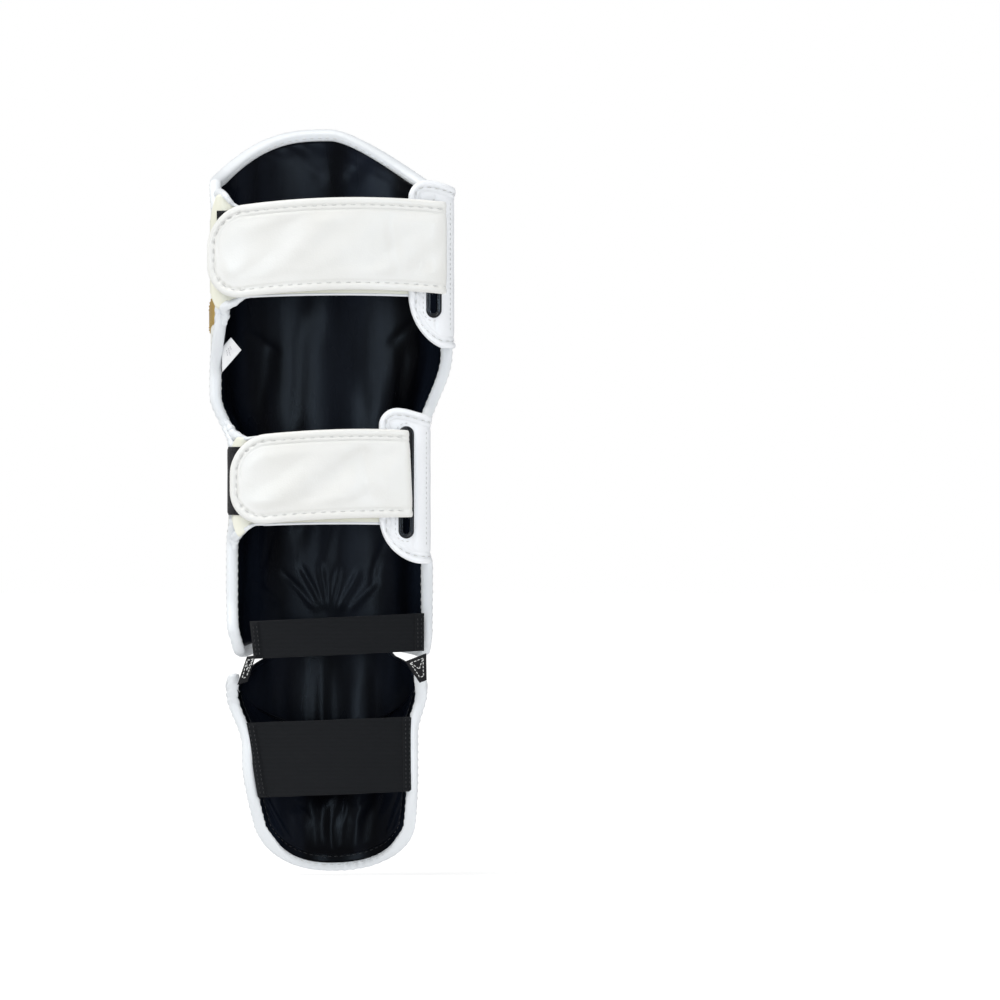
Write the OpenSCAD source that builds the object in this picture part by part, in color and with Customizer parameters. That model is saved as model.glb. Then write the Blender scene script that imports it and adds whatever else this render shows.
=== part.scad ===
// Shin and instep guard with two slot straps, an ankle elastic and an instep elastic.
// Upright as worn: +Z runs up the shin, +Y points to the front of the leg and -Y to the
// open calf side. The origin lies on the leg's axis at the level of the ankle hinge.

/* [Shin shell] */
// Height of the top edge above the ankle hinge, at the crown of its curve
shin_top = 388; // [370:1:400]
// Left half width of the shell above the calf step
left_upper_half = 86.5; // [85:0.5:88]
// Left half width of the shell below the calf step
left_lower_half = 74.5; // [73:0.5:76]
// Right half width of the shell above the calf step
right_upper_half = 87.2; // [86:0.5:88]
// Right half width of the shell below the calf step
right_lower_half = 70.2; // [69:0.5:71]
// Depth of the shell from the leg's axis to its front face
shin_depth = 60; // [56:1:64]
// Thickness of the sandwich at the wing edges
edge_thick = 9; // [8:0.5:10]
// Thickness of the sandwich along the front of the shin
front_thick = 14; // [12:0.5:16]
// Thickness of each outer and inner skin
skin = 1; // [0.8:0.1:1.4]

/* [Instep shell] */
// Distance of the toe edge below the ankle hinge
instep_drop = 150; // [145:1:156]
// Half width of the instep shell at its middle
instep_half = 63; // [61:0.5:64]
// Depth of the instep shell at the ankle
instep_depth = 60; // [58:1:62]
// Height of the raised cushion on the instep lining
cushion_rise = 5; // [3:0.5:6]

/* [Edge binding] */
// Width of the binding on the face of the shell
bind_width = 7; // [6:0.5:8]
// Height that the binding stands proud of each face
bind_proud = 0.6; // [0.4:0.1:0.8]

/* [Straps] */
// Height of each strap flap
strap_height = 66; // [64:1:68]
// Level of the middle of the upper strap
upper_strap_z = 300.5; // [298:0.5:303]
// Level of the middle of the lower strap
lower_strap_z = 135; // [134:0.5:136]
// Thickness of the base strap
strap_thick = 2.5; // [2:0.1:2.8]
// Thickness of the padded flap
flap_thick = 3; // [2.8:0.1:3.2]
// Thickness of each hook and loop layer
tape_thick = 1.5; // [1.2:0.1:1.6]
// Radius of the straps' curve round the calf
strap_radius = 270; // [260:5:280]

/* [Slots] */
// Outer width of a slot ring
ring_width = 11.4; // [11:0.1:12]
// Width of a slot ring's rim
ring_rim = 3.3; // [3:0.1:3.4]
// Outer height of the upper slot ring
upper_ring_height = 88; // [86:1:90]
// Outer height of the lower slot ring
lower_ring_height = 81; // [80:1:84]
// Thickness of a slot ear
ear_thick = 2.7; // [2.4:0.1:2.8]

/* [Elastics] */
// Height of the ankle elastic
ankle_elastic_height = 29; // [27:1:31]
// Height of the instep elastic
instep_elastic_height = 54; // [52:1:56]
// Thickness of the elastics
elastic_thick = 1.6; // [1.4:0.1:2]

/* [Hidden] */

// Grid of the shin shell: cells round the leg and cells along it.
shin_nu = 24;
shin_nv = 18;
// Grid of the instep shell.
step_nu = 16;
step_nv = 10;
// Rows of the flexible panel that tucks the instep up inside the shin.
flex_rows = 4;

// Angles from the front of the leg to the wing tips, in degrees.
left_wing = 98;
right_wing = 96;
step_wing = 98;
// Depth of the shell's curve behind its widest line.
back_depth = 70;
// Hinge line between shin and instep.
hinge_y = -12;
// Slope of the shin's bottom edge and of the instep's top edge away from the hinge.
shin_slope = 0.13;
step_slope = 0.532;
// Gap between moving bodies.
gap = 0.3;
// Depth to which a sewn-on piece is pressed into what it is sewn to.
sewn = 0.2;

// Middle line of the base strap: an arc about this point behind the calf.
strap_bulge = 44;
strap_centre_y = strap_radius - strap_bulge;

// Layers of a strap, outward from the base strap's middle line.
loop_in = strap_thick / 2;
loop_out = loop_in + tape_thick;
hook_in = loop_out + gap;
hook_out = hook_in + tape_thick;
flap_in = hook_out;
flap_out = flap_in + flap_thick;
flap_mid = (flap_in + flap_out) / 2;
ear_in = strap_thick / 2 + gap;
ear_out = ear_in + ear_thick;
fold_radius = flap_mid / 2;
// Arc of the fold that is left open for the flap's round root, in degrees.
fold_cut = 52;

// Places of the two slots and of the strap folds in them.
upper_slot_x = 73.8;
lower_slot_x = 54.3;
upper_fold_x = upper_slot_x - 3.2;
lower_fold_x = lower_slot_x - 3.2;
upper_slot_z = 294;
lower_slot_z = 131.5;
corner_upper = 10;
corner_lower = 8;
corner_left = 14;

white = [0.95, 0.96, 0.94];
cream = [0.9, 0.9, 0.82];
black = [0.08, 0.08, 0.1];
gold = [0.76, 0.6, 0.24];
foam = [0.85, 0.78, 0.5];

// ---- Curves ----

function ease(t) = let (c = max(0, min(1, t))) c * c * (3 - 2 * c);
function mix(a, b, t) = a * (1 - t) + b * t;
function plateau(z, middle, half, soft) = ease((half - abs(z - middle)) / soft);

// Half widths of the shin shell at a height.
function shin_left(z) = mix(left_lower_half, left_upper_half, ease((z - 158) / 37))
  - 6 * ease((30 - z) / 26);
function shin_right(z) = mix(right_lower_half, right_upper_half, ease((z - 164) / 60))
  + 2.8 * ease((86 - z) / 14) - 2.4 * ease((24 - z) / 20);
function shin_front(z) = shin_depth + 6 * ease((z - 250) / 140);

// Angle of each wing tip at a height: it wraps further round where a strap or an ear is sewn to it.
function left_tip(z) = left_wing + 15 * plateau(z, 280, 75, 50)
  + 10 * plateau(z, 130, 45, 22) + 5 * ease((48 - z) / 25);
function right_tip(z) = right_wing + 5 * ease((48 - z) / 30)
  + 12 * plateau(z, 290, 62, 30) + 12 * plateau(z, 130, 58, 25);

// Half widths and depth of the instep shell at a height below the hinge.
function step_left(z) = instep_half + 12 * ease((z + 60) / 42) - 12 * ease((-68 - z) / 75);
function step_right(z) = instep_half - 0.5 + 7 * ease((z + 50) / 32) - 4 * ease((-80 - z) / 70);
function step_front(z) = instep_depth - 14 * ease(-z / 110);

// A point on a shell: angle from the front, height, and depth below the outer face.
function on_shell(angle, z, half, front, back, depth) =
  [(half - depth) * sin(angle), ((abs(angle) > 90 ? back : front) - depth) * cos(angle), z];

// Top and bottom edges of the two shells by angle.
function crown(angle) = shin_top
  - (angle < 0 ? 32 * pow(sin(angle), 2) : 45 * pow(abs(sin(angle)), 1.5));
function ahead(angle, front) = max(0, (abs(angle) > 90 ? back_depth : front) * cos(angle) - hinge_y);
function shin_foot(angle) = 2 + shin_slope * ahead(angle, shin_depth);
function step_head(angle) = -5 - step_slope * ahead(angle, instep_depth);
function step_toe(angle) = -instep_drop + 32 * pow(abs(angle) / step_wing, 2.2);

// Rounding of the corners, from 0 in the middle of a side to 1 at its end.
function toward_end(t) = pow(abs(2 * t - 1), 12);
corner_drop = 6;
corner_turn = 6;

function shin_thick(angle) = mix(edge_thick, front_thick, ease((70 - abs(angle)) / 60));

function shin_angle(u, v, z) =
  mix(-left_tip(z) + corner_turn * toward_end(v), right_tip(z) - corner_turn * toward_end(v), u);
function shin_z(u, v) = let (a = mix(-left_wing, right_wing, u), r = corner_drop * toward_end(u))
  mix(shin_foot(a) + r, crown(a) - r, v);
function shin_at(u, v, depth) = let (z = shin_z(u, v), a = shin_angle(u, v, z))
  on_shell(a, z, a < 0 ? shin_left(z) : shin_right(z), shin_front(z), back_depth, depth);
function shin_t(u, v) = shin_thick(shin_angle(u, v, shin_z(u, v)));

function step_z(u, v) = let (a = mix(-step_wing, step_wing, u)) mix(step_toe(a), step_head(a), v);
function step_angle(u, v, z) = let (turn = corner_turn * pow(1 - v, 10) * 2, wrap = 9 * ease((z + 30) / 22))
  mix(-step_wing - wrap + turn, step_wing + wrap - turn, u);
function step_at(u, v, depth) = let (z = step_z(u, v), a = step_angle(u, v, z))
  on_shell(a, z, a < 0 ? step_left(z) : step_right(z), step_front(z), instep_depth, depth);

// The sheets end where the binding begins.
shin_du = bind_width / 270;
shin_dv = (bind_width + 1.5) / 365;
step_du = bind_width / 215;
step_dv = bind_width / 125;
function shin_u(i) = mix(shin_du, 1 - shin_du, i / shin_nu);
function shin_v(j) = mix(shin_dv, 1 - shin_dv, j / shin_nv);
function step_u(i) = mix(step_du, 1 - step_du, i / step_nu);
function step_v(j) = mix(step_dv, 1, j / step_nv);
shin_grid = function (i, j, depth) shin_at(shin_u(i), shin_v(j), depth);
step_grid = function (i, j, depth) step_at(step_u(i), step_v(j), depth);
shin_full = function (i, j) shin_t(shin_u(i), shin_v(j));

// ---- Solids on a grid ----

// Two triangles of one grid cell. The diagonals mirror each other about the front line.
function cell(a, b, c, d, left) = left ? [[a, b, d], [b, c, d]] : [[a, b, c], [a, c, d]];
function turned(faces) = [for (f = faces) [f[2], f[1], f[0]]];

// A solid between two depths over cells i0..i1 and j0..j1 of a grid.
module slab(grid, half, i0, i1, j0, j1, outer, inner) {
  nu = i1 - i0;
  nv = j1 - j0;
  side = (nu + 1) * (nv + 1);
  points = [
    for (i = [i0:i1], j = [j0:j1]) grid(i, j, outer(i, j)),
    for (i = [i0:i1], j = [j0:j1]) grid(i, j, inner(i, j))
  ];
  at = function (i, j) i * (nv + 1) + j;
  faces = [
    for (i = [0:nu - 1], j = [0:nv - 1])
      each cell(at(i, j), at(i + 1, j), at(i + 1, j + 1), at(i, j + 1), i + i0 < half),
    for (i = [0:nu - 1], j = [0:nv - 1])
      each turned(cell(side + at(i, j), side + at(i + 1, j), side + at(i + 1, j + 1),
        side + at(i, j + 1), i + i0 < half)),
    for (i = [0:nu - 1]) each wall(at(i, 0), at(i + 1, 0), side),
    for (i = [0:nu - 1]) each wall(at(i + 1, nv), at(i, nv), side),
    for (j = [0:nv - 1]) each wall(at(nu, j), at(nu, j + 1), side),
    for (j = [0:nv - 1]) each wall(at(0, j + 1), at(0, j), side)
  ];
  polyhedron(points, faces);
}
function wall(a, b, side) = [[b, a, a + side], [b, a + side, b + side]];

// A solid swept through sections with the same number of points.
module skinned(sections, closed) {
  m = len(sections[0]);
  n = len(sections);
  faces = [
    for (k = [0:n - (closed ? 1 : 2)], s = [0:m - 1])
      let (a = k * m + s, b = k * m + (s + 1) % m, c = ((k + 1) % n) * m + (s + 1) % m, d = ((k + 1) % n) * m + s)
        each [[a, b, c], [a, c, d]],
    if (!closed) for (s = [1:m - 2]) [0, s + 1, s],
    if (!closed) for (s = [1:m - 2]) [(n - 1) * m, (n - 1) * m + s, (n - 1) * m + s + 1]
  ];
  polyhedron([for (s = sections) each s], faces);
}

// One section of binding, from the sheet's edge out to the rounded tip and back inside.
function bind_section(at, inset, tip, thick) = let (near = mix(inset, tip, 0.6)) [
  at(inset[0], inset[1], -bind_proud),
  at(near[0], near[1], -bind_proud),
  at(tip[0], tip[1], thick * 0.2),
  at(tip[0], tip[1], thick * 0.8),
  at(near[0], near[1], thick + bind_proud),
  at(inset[0], inset[1], thick + bind_proud)
];

// A patch on the outer face of a shell, thin at its border and full in its middle.
function pad_rise(i, j, i0, i1, j0, j1, low, high) =
  let (a = min(i - i0, i1 - i), b = min(j - j0, j1 - j), full = min(i1 - i0, j1 - j0) / 2)
    mix(low, high, ease(min(1, min(a, b) / min(2, full))));
module shin_pad(i0, i1, j0, j1, low, high) {
  slab(shin_grid, shin_nu / 2, i0, i1, j0, j1,
    function (i, j) -pad_rise(i, j, i0, i1, j0, j1, low, high), function (i, j) 0);
}
module step_pad(i0, i1, j0, j1, low, high) {
  slab(step_grid, step_nu / 2, i0, i1, j0, j1,
    function (i, j) -pad_rise(i, j, i0, i1, j0, j1, low, high), function (i, j) 0);
}

// ---- Shin shell ----

module shin_layer(outer, inner) {
  slab(shin_grid, shin_nu / 2, 0, shin_nu, 0, shin_nv, outer, inner);
}
module shin_cover() {
  color(white) shin_layer(function (i, j) 0, function (i, j) skin);
}
module shin_foam_core() {
  color(foam) shin_layer(function (i, j) skin, function (i, j) shin_full(i, j) - skin);
}
module shin_lining() {
  color(black) shin_layer(function (i, j) shin_full(i, j) - skin, function (i, j) shin_full(i, j));
}
module shin_edge_binding() {
  section = function (u, v, tu, tv) bind_section(function (a, b, d) shin_at(a, b, d), [u, v], [tu, tv], shin_t(u, v));
  color(white) skinned([
    for (i = [0:shin_nu - 1]) section(shin_u(i), shin_dv, i / shin_nu, 0),
    for (j = [0:shin_nv - 1]) section(1 - shin_du, shin_v(j), 1, j / shin_nv),
    for (i = [shin_nu:-1:1]) section(shin_u(i), 1 - shin_dv, i / shin_nu, 1),
    for (j = [shin_nv:-1:1]) section(shin_du, shin_v(j), 0, j / shin_nv)
  ], true);
}

// ---- Pads and accents on the front of the shin ----

module upper_ridge_pad() {
  color(white) shin_pad(8, 16, 11, 15, 3, 11);
}
module middle_ridge_pad() {
  color(white) shin_pad(8, 16, 6, 10, 3, 11);
}
module lower_ridge_pad() {
  color(white) shin_pad(8, 16, 1, 5, 3, 10);
}
module knee_pad() {
  color(white) shin_pad(7, 17, 16, 18, 3, 8);
}
module left_side_pad() {
  color(white) shin_pad(4, 7, 2, 14, 2, 6);
}
module right_side_pad() {
  color(white) shin_pad(17, 20, 2, 14, 2, 6);
}

// Slanting bands across the wings, one grid row high, which follow the grid's diagonals.
accent_thick = 0.8;
accent_row = 11;
module accent(i0, i1, rise) {
  rows = function (i, k) accent_row + abs(i - (rise < 0 ? i1 : i0)) + k;
  corners = [
    for (i = [i0:i1], k = [0:1]) shin_grid(i, rows(i, k), -accent_thick),
    for (i = [i0:i1], k = [0:1]) shin_grid(i, rows(i, k), 0)
  ];
  n = i1 - i0;
  side = 2 * (n + 1);
  strip = function (i) rise < 0 ? [[2 * i, 2 * i + 2, 2 * i + 3], [2 * i, 2 * i + 3, 2 * i + 1]]
    : [[2 * i, 2 * i + 2, 2 * i + 1], [2 * i + 2, 2 * i + 3, 2 * i + 1]];
  base = function (f) [for (t = f) [t[2] + side, t[1] + side, t[0] + side]];
  polyhedron(corners, [
    for (i = [0:n - 1]) each strip(i),
    for (i = [0:n - 1]) each base(strip(i)),
    for (i = [0:n - 1]) each wall(2 * i, 2 * i + 2, side),
    for (i = [0:n - 1]) each wall(2 * i + 3, 2 * i + 1, side),
    each wall(2 * n, 2 * n + 1, side),
    each wall(1, 0, side)
  ]);
}
module gold_accents() {
  color(gold) {
    accent(1, 3, -1);
    accent(21, 23, 1);
  }
}

// ---- Straps, drawn in plan as ribbons and cut to outline ----

// Points of the straps' arc between two places across the calf.
function calf_arc(x0, x1, n) = [for (k = [0:n]) let (x = mix(x0, x1, k / n))
  [x, strap_centre_y - sqrt(strap_radius * strap_radius - x * x)]];

// The corner from a side at x = half onto the calf arc, as centre, turn and tangent point.
function corner_centre(half, r) = [half - r,
  strap_centre_y - sqrt(pow(strap_radius - r, 2) - pow(half - r, 2))];
function corner_path(half, r, n) = let (c = corner_centre(half, r),
  stop = atan2(c[1] - strap_centre_y, c[0])) [for (k = [0:n]) let (a = mix(0, stop, k / n))
  [c[0] + r * cos(a), c[1] + r * sin(a)]];
function mirrored(path) = [for (p = path) [-p[0], p[1]]];
function backward(path) = [for (k = [len(path) - 1:-1:0]) path[k]];

// A path's point moved to its outer side, away from the leg.
function beside(path, k, o) = let (a = path[max(0, k - 1)], b = path[min(len(path) - 1, k + 1)],
  t = (b - a) / norm(b - a)) path[k] + o * [t[1], -t[0]];
module ribbon(path, inner, outer, z0, z1) {
  n = len(path) - 1;
  translate([0, 0, z0]) linear_extrude(z1 - z0) polygon([
    for (k = [0:n]) beside(path, k, inner),
    for (k = [n:-1:0]) beside(path, k, outer)
  ]);
}

// The left wing's side, its corner and the calf arc as far as x1.
function left_path(half, y0, x1) = let (corner = mirrored(corner_path(half, corner_left, 6)))
  concat([[-half, y0]], corner, [for (k = [1:20]) calf_arc(corner[6][0], x1, 20)[k]]);
// The same on the right, from x0 on the calf arc to the right wing's side.
function right_path(half, r, y1, x0) = let (corner = corner_path(half, r, 6))
  concat([for (k = [0:7]) calf_arc(x0, corner[6][0], 8)[k]], backward(corner), [[half, y1]]);

// The fold in a slot: it leaves the base strap's end and turns outward and back.
function fold_point(x) = calf_arc(0, x, 1)[1];
function outward(x) = [x, fold_point(x)[1] - strap_centre_y] / strap_radius;
function fold_path(x) = let (n = outward(x), c = fold_point(x) + fold_radius * n)
  [for (k = [0:8]) let (a = -k * (180 - fold_cut) / 8)
    c - fold_radius * [n[0] * cos(a) - n[1] * sin(a), n[0] * sin(a) + n[1] * cos(a)]];
function hinge_point(x) = fold_point(x) + flap_mid * outward(x);

// Rounds a polygon's corners, each with its own radius.
function rounded(points, radii) = [for (i = [0:len(points) - 1])
  let (p = points[i], q = points[(i + len(points) - 1) % len(points)], s = points[(i + 1) % len(points)],
    a = p + radii[i] * (q - p) / norm(q - p), b = p + radii[i] * (s - p) / norm(s - p))
    each radii[i] == 0 ? [p] : [for (t = [0:0.2:1]) mix(mix(a, p, t), mix(p, b, t), t)]];

// A flat outline in X and Z, extruded through the straps' whole depth.
module through(z0 = 0) {
  translate([0, 40, z0]) rotate([90, 0, 0]) linear_extrude(120) children();
}
module racetrack(x, width, height) {
  translate([x - width / 2, -height / 2 + width / 2]) square([width, height - width]);
  for (s = [-1, 1]) translate([x, s * (height - width) / 2]) circle(d = width, $fn = 48);
}

module base_strap(half, fold_x, z) {
  color(cream) ribbon(concat(left_path(half + strap_thick / 2 - sewn, 0, fold_x),
    [for (k = [1:8]) fold_path(fold_x)[k]]), -strap_thick / 2, strap_thick / 2,
    z - strap_height / 2 + 1, z + strap_height / 2 - 1);
}
module upper_strap_base() {
  base_strap(left_upper_half, upper_fold_x, upper_strap_z);
}
module lower_strap_base() {
  base_strap(left_lower_half, lower_fold_x, lower_strap_z);
}
module tape(x0, x1, inner, outer, z) {
  color(black) ribbon(calf_arc(x0, x1, 16), inner, outer, z - 25, z + 25);
}
module upper_loop_patch() {
  tape(-68, 50, loop_in, loop_out, upper_strap_z);
}
module lower_loop_patch() {
  tape(-56, 30, loop_in, loop_out, lower_strap_z);
}
module upper_hook_patch() {
  tape(-66, 20, hook_in, hook_out, upper_strap_z);
}
module lower_hook_patch() {
  tape(-54, 10, hook_in, hook_out, lower_strap_z);
}

// Loop fabric sewn on the outer side of the left wing, where the strap leaves it.
module side_loop(j0, j1) {
  color(black) slab(shin_grid, shin_nu / 2, 1, 3, j0, j1,
    function (i, j) -tape_thick, function (i, j) 0);
}
module upper_side_loop() {
  side_loop(14, 16);
}
module lower_side_loop() {
  side_loop(5, 7);
}

// A flap: a rounded free end on the left and a round root at the fold.
module flap_outline(x0, x1, inset) {
  low = -strap_height / 2 + inset;
  high = strap_height / 2 - inset;
  r = 27 - inset * 0.7;
  polygon(rounded([[x1, low], [x0 + inset, low], [x0 + inset, high], [x1, high]], [0, r, r, 0]));
}
module flap_sheet(x0, fold_x, thin, z) {
  ribbon(concat(calf_arc(x0 - 4, fold_x, 24)), flap_in + thin, flap_out - thin,
    z - strap_height / 2 - 1, z + strap_height / 2 + 1);
}
module flap_panel(x0, fold_x, z) {
  root = hinge_point(fold_x);
  color(white) {
    intersection() {
      flap_sheet(x0, fold_x, 0, z);
      through(z) flap_outline(x0, fold_x + 5, bind_width);
    }
    translate([root[0], root[1], z - strap_height / 2 + bind_width])
      cylinder(h = strap_height - 2 * bind_width, r = flap_thick / 2, $fn = 48);
  }
}
module flap_binding(x0, fold_x, z) {
  color(white) intersection() {
    flap_sheet(x0, fold_x, 0, z);
    through(z) difference() {
      flap_outline(x0, fold_x - 2, 0);
      flap_outline(x0, fold_x + 5, bind_width);
    }
  }
}
module upper_flap_panel() {
  flap_panel(-88, upper_fold_x, upper_strap_z);
}
module upper_flap_binding() {
  flap_binding(-88, upper_fold_x, upper_strap_z);
}
module lower_flap_panel() {
  flap_panel(-70, lower_fold_x, lower_strap_z);
}
module lower_flap_binding() {
  flap_binding(-70, lower_fold_x, lower_strap_z);
}

// ---- Slot ears and rings ----

module upper_ear_outline() {
  polygon(rounded([[100, 226], [79, 231], [61, 246], [56, 268], [58, 349], [100, 349]],
    [0, 6, 8, 8, 9, 0]));
}
module lower_ear_outline() {
  polygon(rounded([[100, 68], [64, 75], [40, 82], [34.5, 104], [37, 176], [46, 185], [100, 185]],
    [0, 8, 10, 10, 6, 6, 0]));
}
module ear_sheet(half, r, x0, z0, z1) {
  ribbon(right_path(half - sewn - ear_in, r, 2, x0), ear_in, ear_out, z0, z1);
}
module upper_slot_ear() {
  color(white) difference() {
    intersection() {
      ear_sheet(right_upper_half, corner_upper, 52, 220, 350);
      through() upper_ear_outline();
    }
    through(upper_slot_z) racetrack(upper_slot_x, ring_width, upper_ring_height);
  }
}
module lower_slot_ear() {
  color(white) difference() {
    intersection() {
      ear_sheet(right_lower_half, corner_lower, 30, 66, 186);
      through() lower_ear_outline();
    }
    through(lower_slot_z) racetrack(lower_slot_x, ring_width, lower_ring_height);
  }
}
module slot_ring(half, r, x, height, z) {
  color(black) intersection() {
    ear_sheet(half, r, x - 20, z - height / 2 - 5, z + height / 2 + 5);
    through(z) difference() {
      racetrack(x, ring_width, height);
      racetrack(x, ring_width - 2 * ring_rim, height - 2 * ring_rim);
    }
  }
}
module upper_slot_ring() {
  slot_ring(right_upper_half, corner_upper, upper_slot_x, upper_ring_height, upper_slot_z);
}
module lower_slot_ring() {
  slot_ring(right_lower_half, corner_lower, lower_slot_x, lower_ring_height, lower_slot_z);
}

// ---- Elastics, label and tabs ----

// A shallow arc across the calf side between two places on the wings.
function bow(p, q, bulge, n) = [for (k = [0:n]) mix(p, q, k / n) - [0, bulge * sin(180 * k / n)]];
module ankle_elastic() {
  color(black) ribbon(bow([-61, -15], [62, -13], 9, 16), -elastic_thick / 2, elastic_thick / 2,
    21 - ankle_elastic_height / 2, 21 + ankle_elastic_height / 2);
}
module ankle_elastic_ends() {
  color(black) for (i = [0, shin_nu - 1]) slab(shin_grid, shin_nu / 2, i, i + 1, 0, 2,
    function (i, j) shin_full(i, j), function (i, j) shin_full(i, j) + elastic_thick);
}
module instep_elastic() {
  color(black) ribbon(bow([-57, -6], [54, -6], 8, 16), -elastic_thick / 2, elastic_thick / 2,
    -69 - instep_elastic_height / 2, -69 + instep_elastic_height / 2);
}
module instep_elastic_ends() {
  color(black) for (i = [0, step_nu - 1]) slab(step_grid, step_nu / 2, i, i + 1, 3, 7,
    function (i, j) edge_thick, function (i, j) edge_thick + elastic_thick);
}
module care_label() {
  color(white) translate([0, -14, 0]) rotate([90, 0, 0]) linear_extrude(0.6)
    polygon([[-76, 231], [-71, 236], [-64, 227], [-75, 211]]);
}
module ankle_tab(side, x) {
  color(black) {
    translate([side * x - 6, -20.4, -14]) cube([12, 1.6, 24]);
    translate([side * x - 6, -20.4, -14]) cube([12, 5, 8]);
  }
}
module left_ankle_tab() {
  ankle_tab(-1, 62);
}
module right_ankle_tab() {
  ankle_tab(1, 60);
}

// ---- Instep shell ----

module step_layer(outer, inner) {
  slab(step_grid, step_nu / 2, 0, step_nu, 0, step_nv, outer, inner);
}
module instep_cover() {
  color(white) step_layer(function (i, j) 0, function (i, j) skin);
}
module instep_foam_core() {
  color(foam) step_layer(function (i, j) skin, function (i, j) edge_thick - skin);
}
module instep_lining() {
  color(black) step_layer(function (i, j) edge_thick - skin, function (i, j) edge_thick);
}
module instep_edge_binding() {
  section = function (u, v, tu, tv) bind_section(function (a, b, d) step_at(a, b, d), [u, v], [tu, tv], edge_thick);
  color(white) skinned([
    for (j = [step_nv:-1:1]) section(step_du, step_v(j), 0, j / step_nv),
    for (i = [0:step_nu]) section(step_u(i), step_dv, i / step_nu, 0),
    for (j = [1:step_nv]) section(1 - step_du, step_v(j), 1, j / step_nv)
  ], false);
}
module instep_cushion() {
  color(black) slab(step_grid, step_nu / 2, 1, step_nu - 1, 1, step_nv,
    function (i, j) edge_thick,
    function (i, j) edge_thick + pad_rise(i, j, 1, step_nu - 1, 1, step_nv + 2, 1.5, cushion_rise));
}

// The flexible panel leans inward from the instep's top edge to tuck inside the shin. Most of
// the lean is low down, so that the panel passes behind the shin's bottom edge as it swings.
flex_thick = 2.5;
flex_clear = 3;
flex_front = 38.5;
function flex_top(a) = 13 * cos(a) - 3;
function leaned(low, high, t) = let (s = sqrt(t))
  [mix(low[0], high[0], s), mix(low[1], high[1], s), mix(low[2], high[2], t)];
flex_grid = function (i, j, depth) let (u = step_u(i), low = step_at(u, 1, edge_thick - flex_thick + depth),
  a = step_angle(u, 1, -8) * 0.98, z = flex_top(a),
  half = (a < 0 ? shin_left(0) : shin_right(0)) - edge_thick - flex_clear,
  high = on_shell(a, z, half, flex_front, flex_front, depth)) leaned(low, high, j / flex_rows);
module ankle_flex_panel() {
  color(black) slab(flex_grid, step_nu / 2, 1, step_nu - 1, 0, flex_rows,
    function (i, j) 0, function (i, j) flex_thick);
}
module instep_upper_pad() {
  color(white) step_pad(4, 12, 7, 9, 2, 6);
}
module instep_middle_pad() {
  color(white) step_pad(4, 12, 4, 6, 2, 7);
}
module instep_toe_pad() {
  color(white) step_pad(4, 12, 1, 3, 2, 6);
}

shin_lining();
shin_foam_core();
shin_cover();
shin_edge_binding();
upper_ridge_pad();
middle_ridge_pad();
lower_ridge_pad();
left_side_pad();
right_side_pad();
gold_accents();
knee_pad();
upper_side_loop();
lower_side_loop();
upper_strap_base();
upper_loop_patch();
lower_strap_base();
lower_loop_patch();
upper_slot_ear();
upper_slot_ring();
lower_slot_ear();
lower_slot_ring();
ankle_elastic();
ankle_elastic_ends();
care_label();
upper_flap_panel();
upper_flap_binding();
upper_hook_patch();
lower_flap_panel();
lower_flap_binding();
lower_hook_patch();
instep_lining();
instep_foam_core();
instep_cover();
instep_edge_binding();
instep_cushion();
ankle_flex_panel();
instep_upper_pad();
instep_middle_pad();
instep_toe_pad();
instep_elastic();
instep_elastic_ends();
left_ankle_tab();
right_ankle_tab();
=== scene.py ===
"""Looks of a shin and instep guard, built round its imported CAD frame.

Lengths are in millimetres up to the point where a mesh is made, where MM turns them into metres.
Seen from the calf side, +X is to the right, +Z up and +Y away to the front of the leg.
"""
import math
from bisect import bisect_right

import bmesh
import bpy
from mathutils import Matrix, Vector, noise


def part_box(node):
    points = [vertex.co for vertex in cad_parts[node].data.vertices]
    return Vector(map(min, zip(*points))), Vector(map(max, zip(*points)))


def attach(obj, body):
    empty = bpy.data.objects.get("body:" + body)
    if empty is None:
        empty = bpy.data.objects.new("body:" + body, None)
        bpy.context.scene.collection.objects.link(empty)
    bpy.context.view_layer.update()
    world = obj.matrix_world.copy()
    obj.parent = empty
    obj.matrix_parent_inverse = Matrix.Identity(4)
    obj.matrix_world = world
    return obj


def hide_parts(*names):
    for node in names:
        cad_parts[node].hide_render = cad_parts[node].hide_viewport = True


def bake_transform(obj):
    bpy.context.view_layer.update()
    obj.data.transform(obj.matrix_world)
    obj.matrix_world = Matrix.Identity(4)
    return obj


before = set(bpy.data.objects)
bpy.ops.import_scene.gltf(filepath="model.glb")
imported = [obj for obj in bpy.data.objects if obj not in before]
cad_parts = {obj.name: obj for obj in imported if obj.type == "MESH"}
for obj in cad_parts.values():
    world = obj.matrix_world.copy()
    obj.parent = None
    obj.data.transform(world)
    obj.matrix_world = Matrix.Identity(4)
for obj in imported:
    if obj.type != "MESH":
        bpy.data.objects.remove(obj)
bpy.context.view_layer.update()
MM = 0.001


# ---- Camera and lights ----

def new_object(name, data):
    made = bpy.data.objects.new(name, data)
    bpy.context.scene.collection.objects.link(made)
    return made


def make_camera():
    """A long lens square on to the calf side, with the guard left of the middle."""
    distance, wide = 10.0, 0.72
    data = bpy.data.cameras.new("camera")
    camera = new_object("camera", data)
    data.sensor_width = 36
    data.lens = 36 * distance / wide
    data.clip_end = 100
    camera.location = (0.1224, -distance - 0.03, 0.1188)
    camera.rotation_euler = (math.radians(90), 0, 0)
    bpy.context.scene.camera = camera


def place_light(name, kind, power, place, target, color):
    data = bpy.data.lights.new(name, kind)
    data.energy = power
    data.color = color
    light = new_object(name, data)
    light.location = place
    light.rotation_euler = (Vector(target) - Vector(place)).to_track_quat("-Z", "Y").to_euler()
    return light


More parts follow.
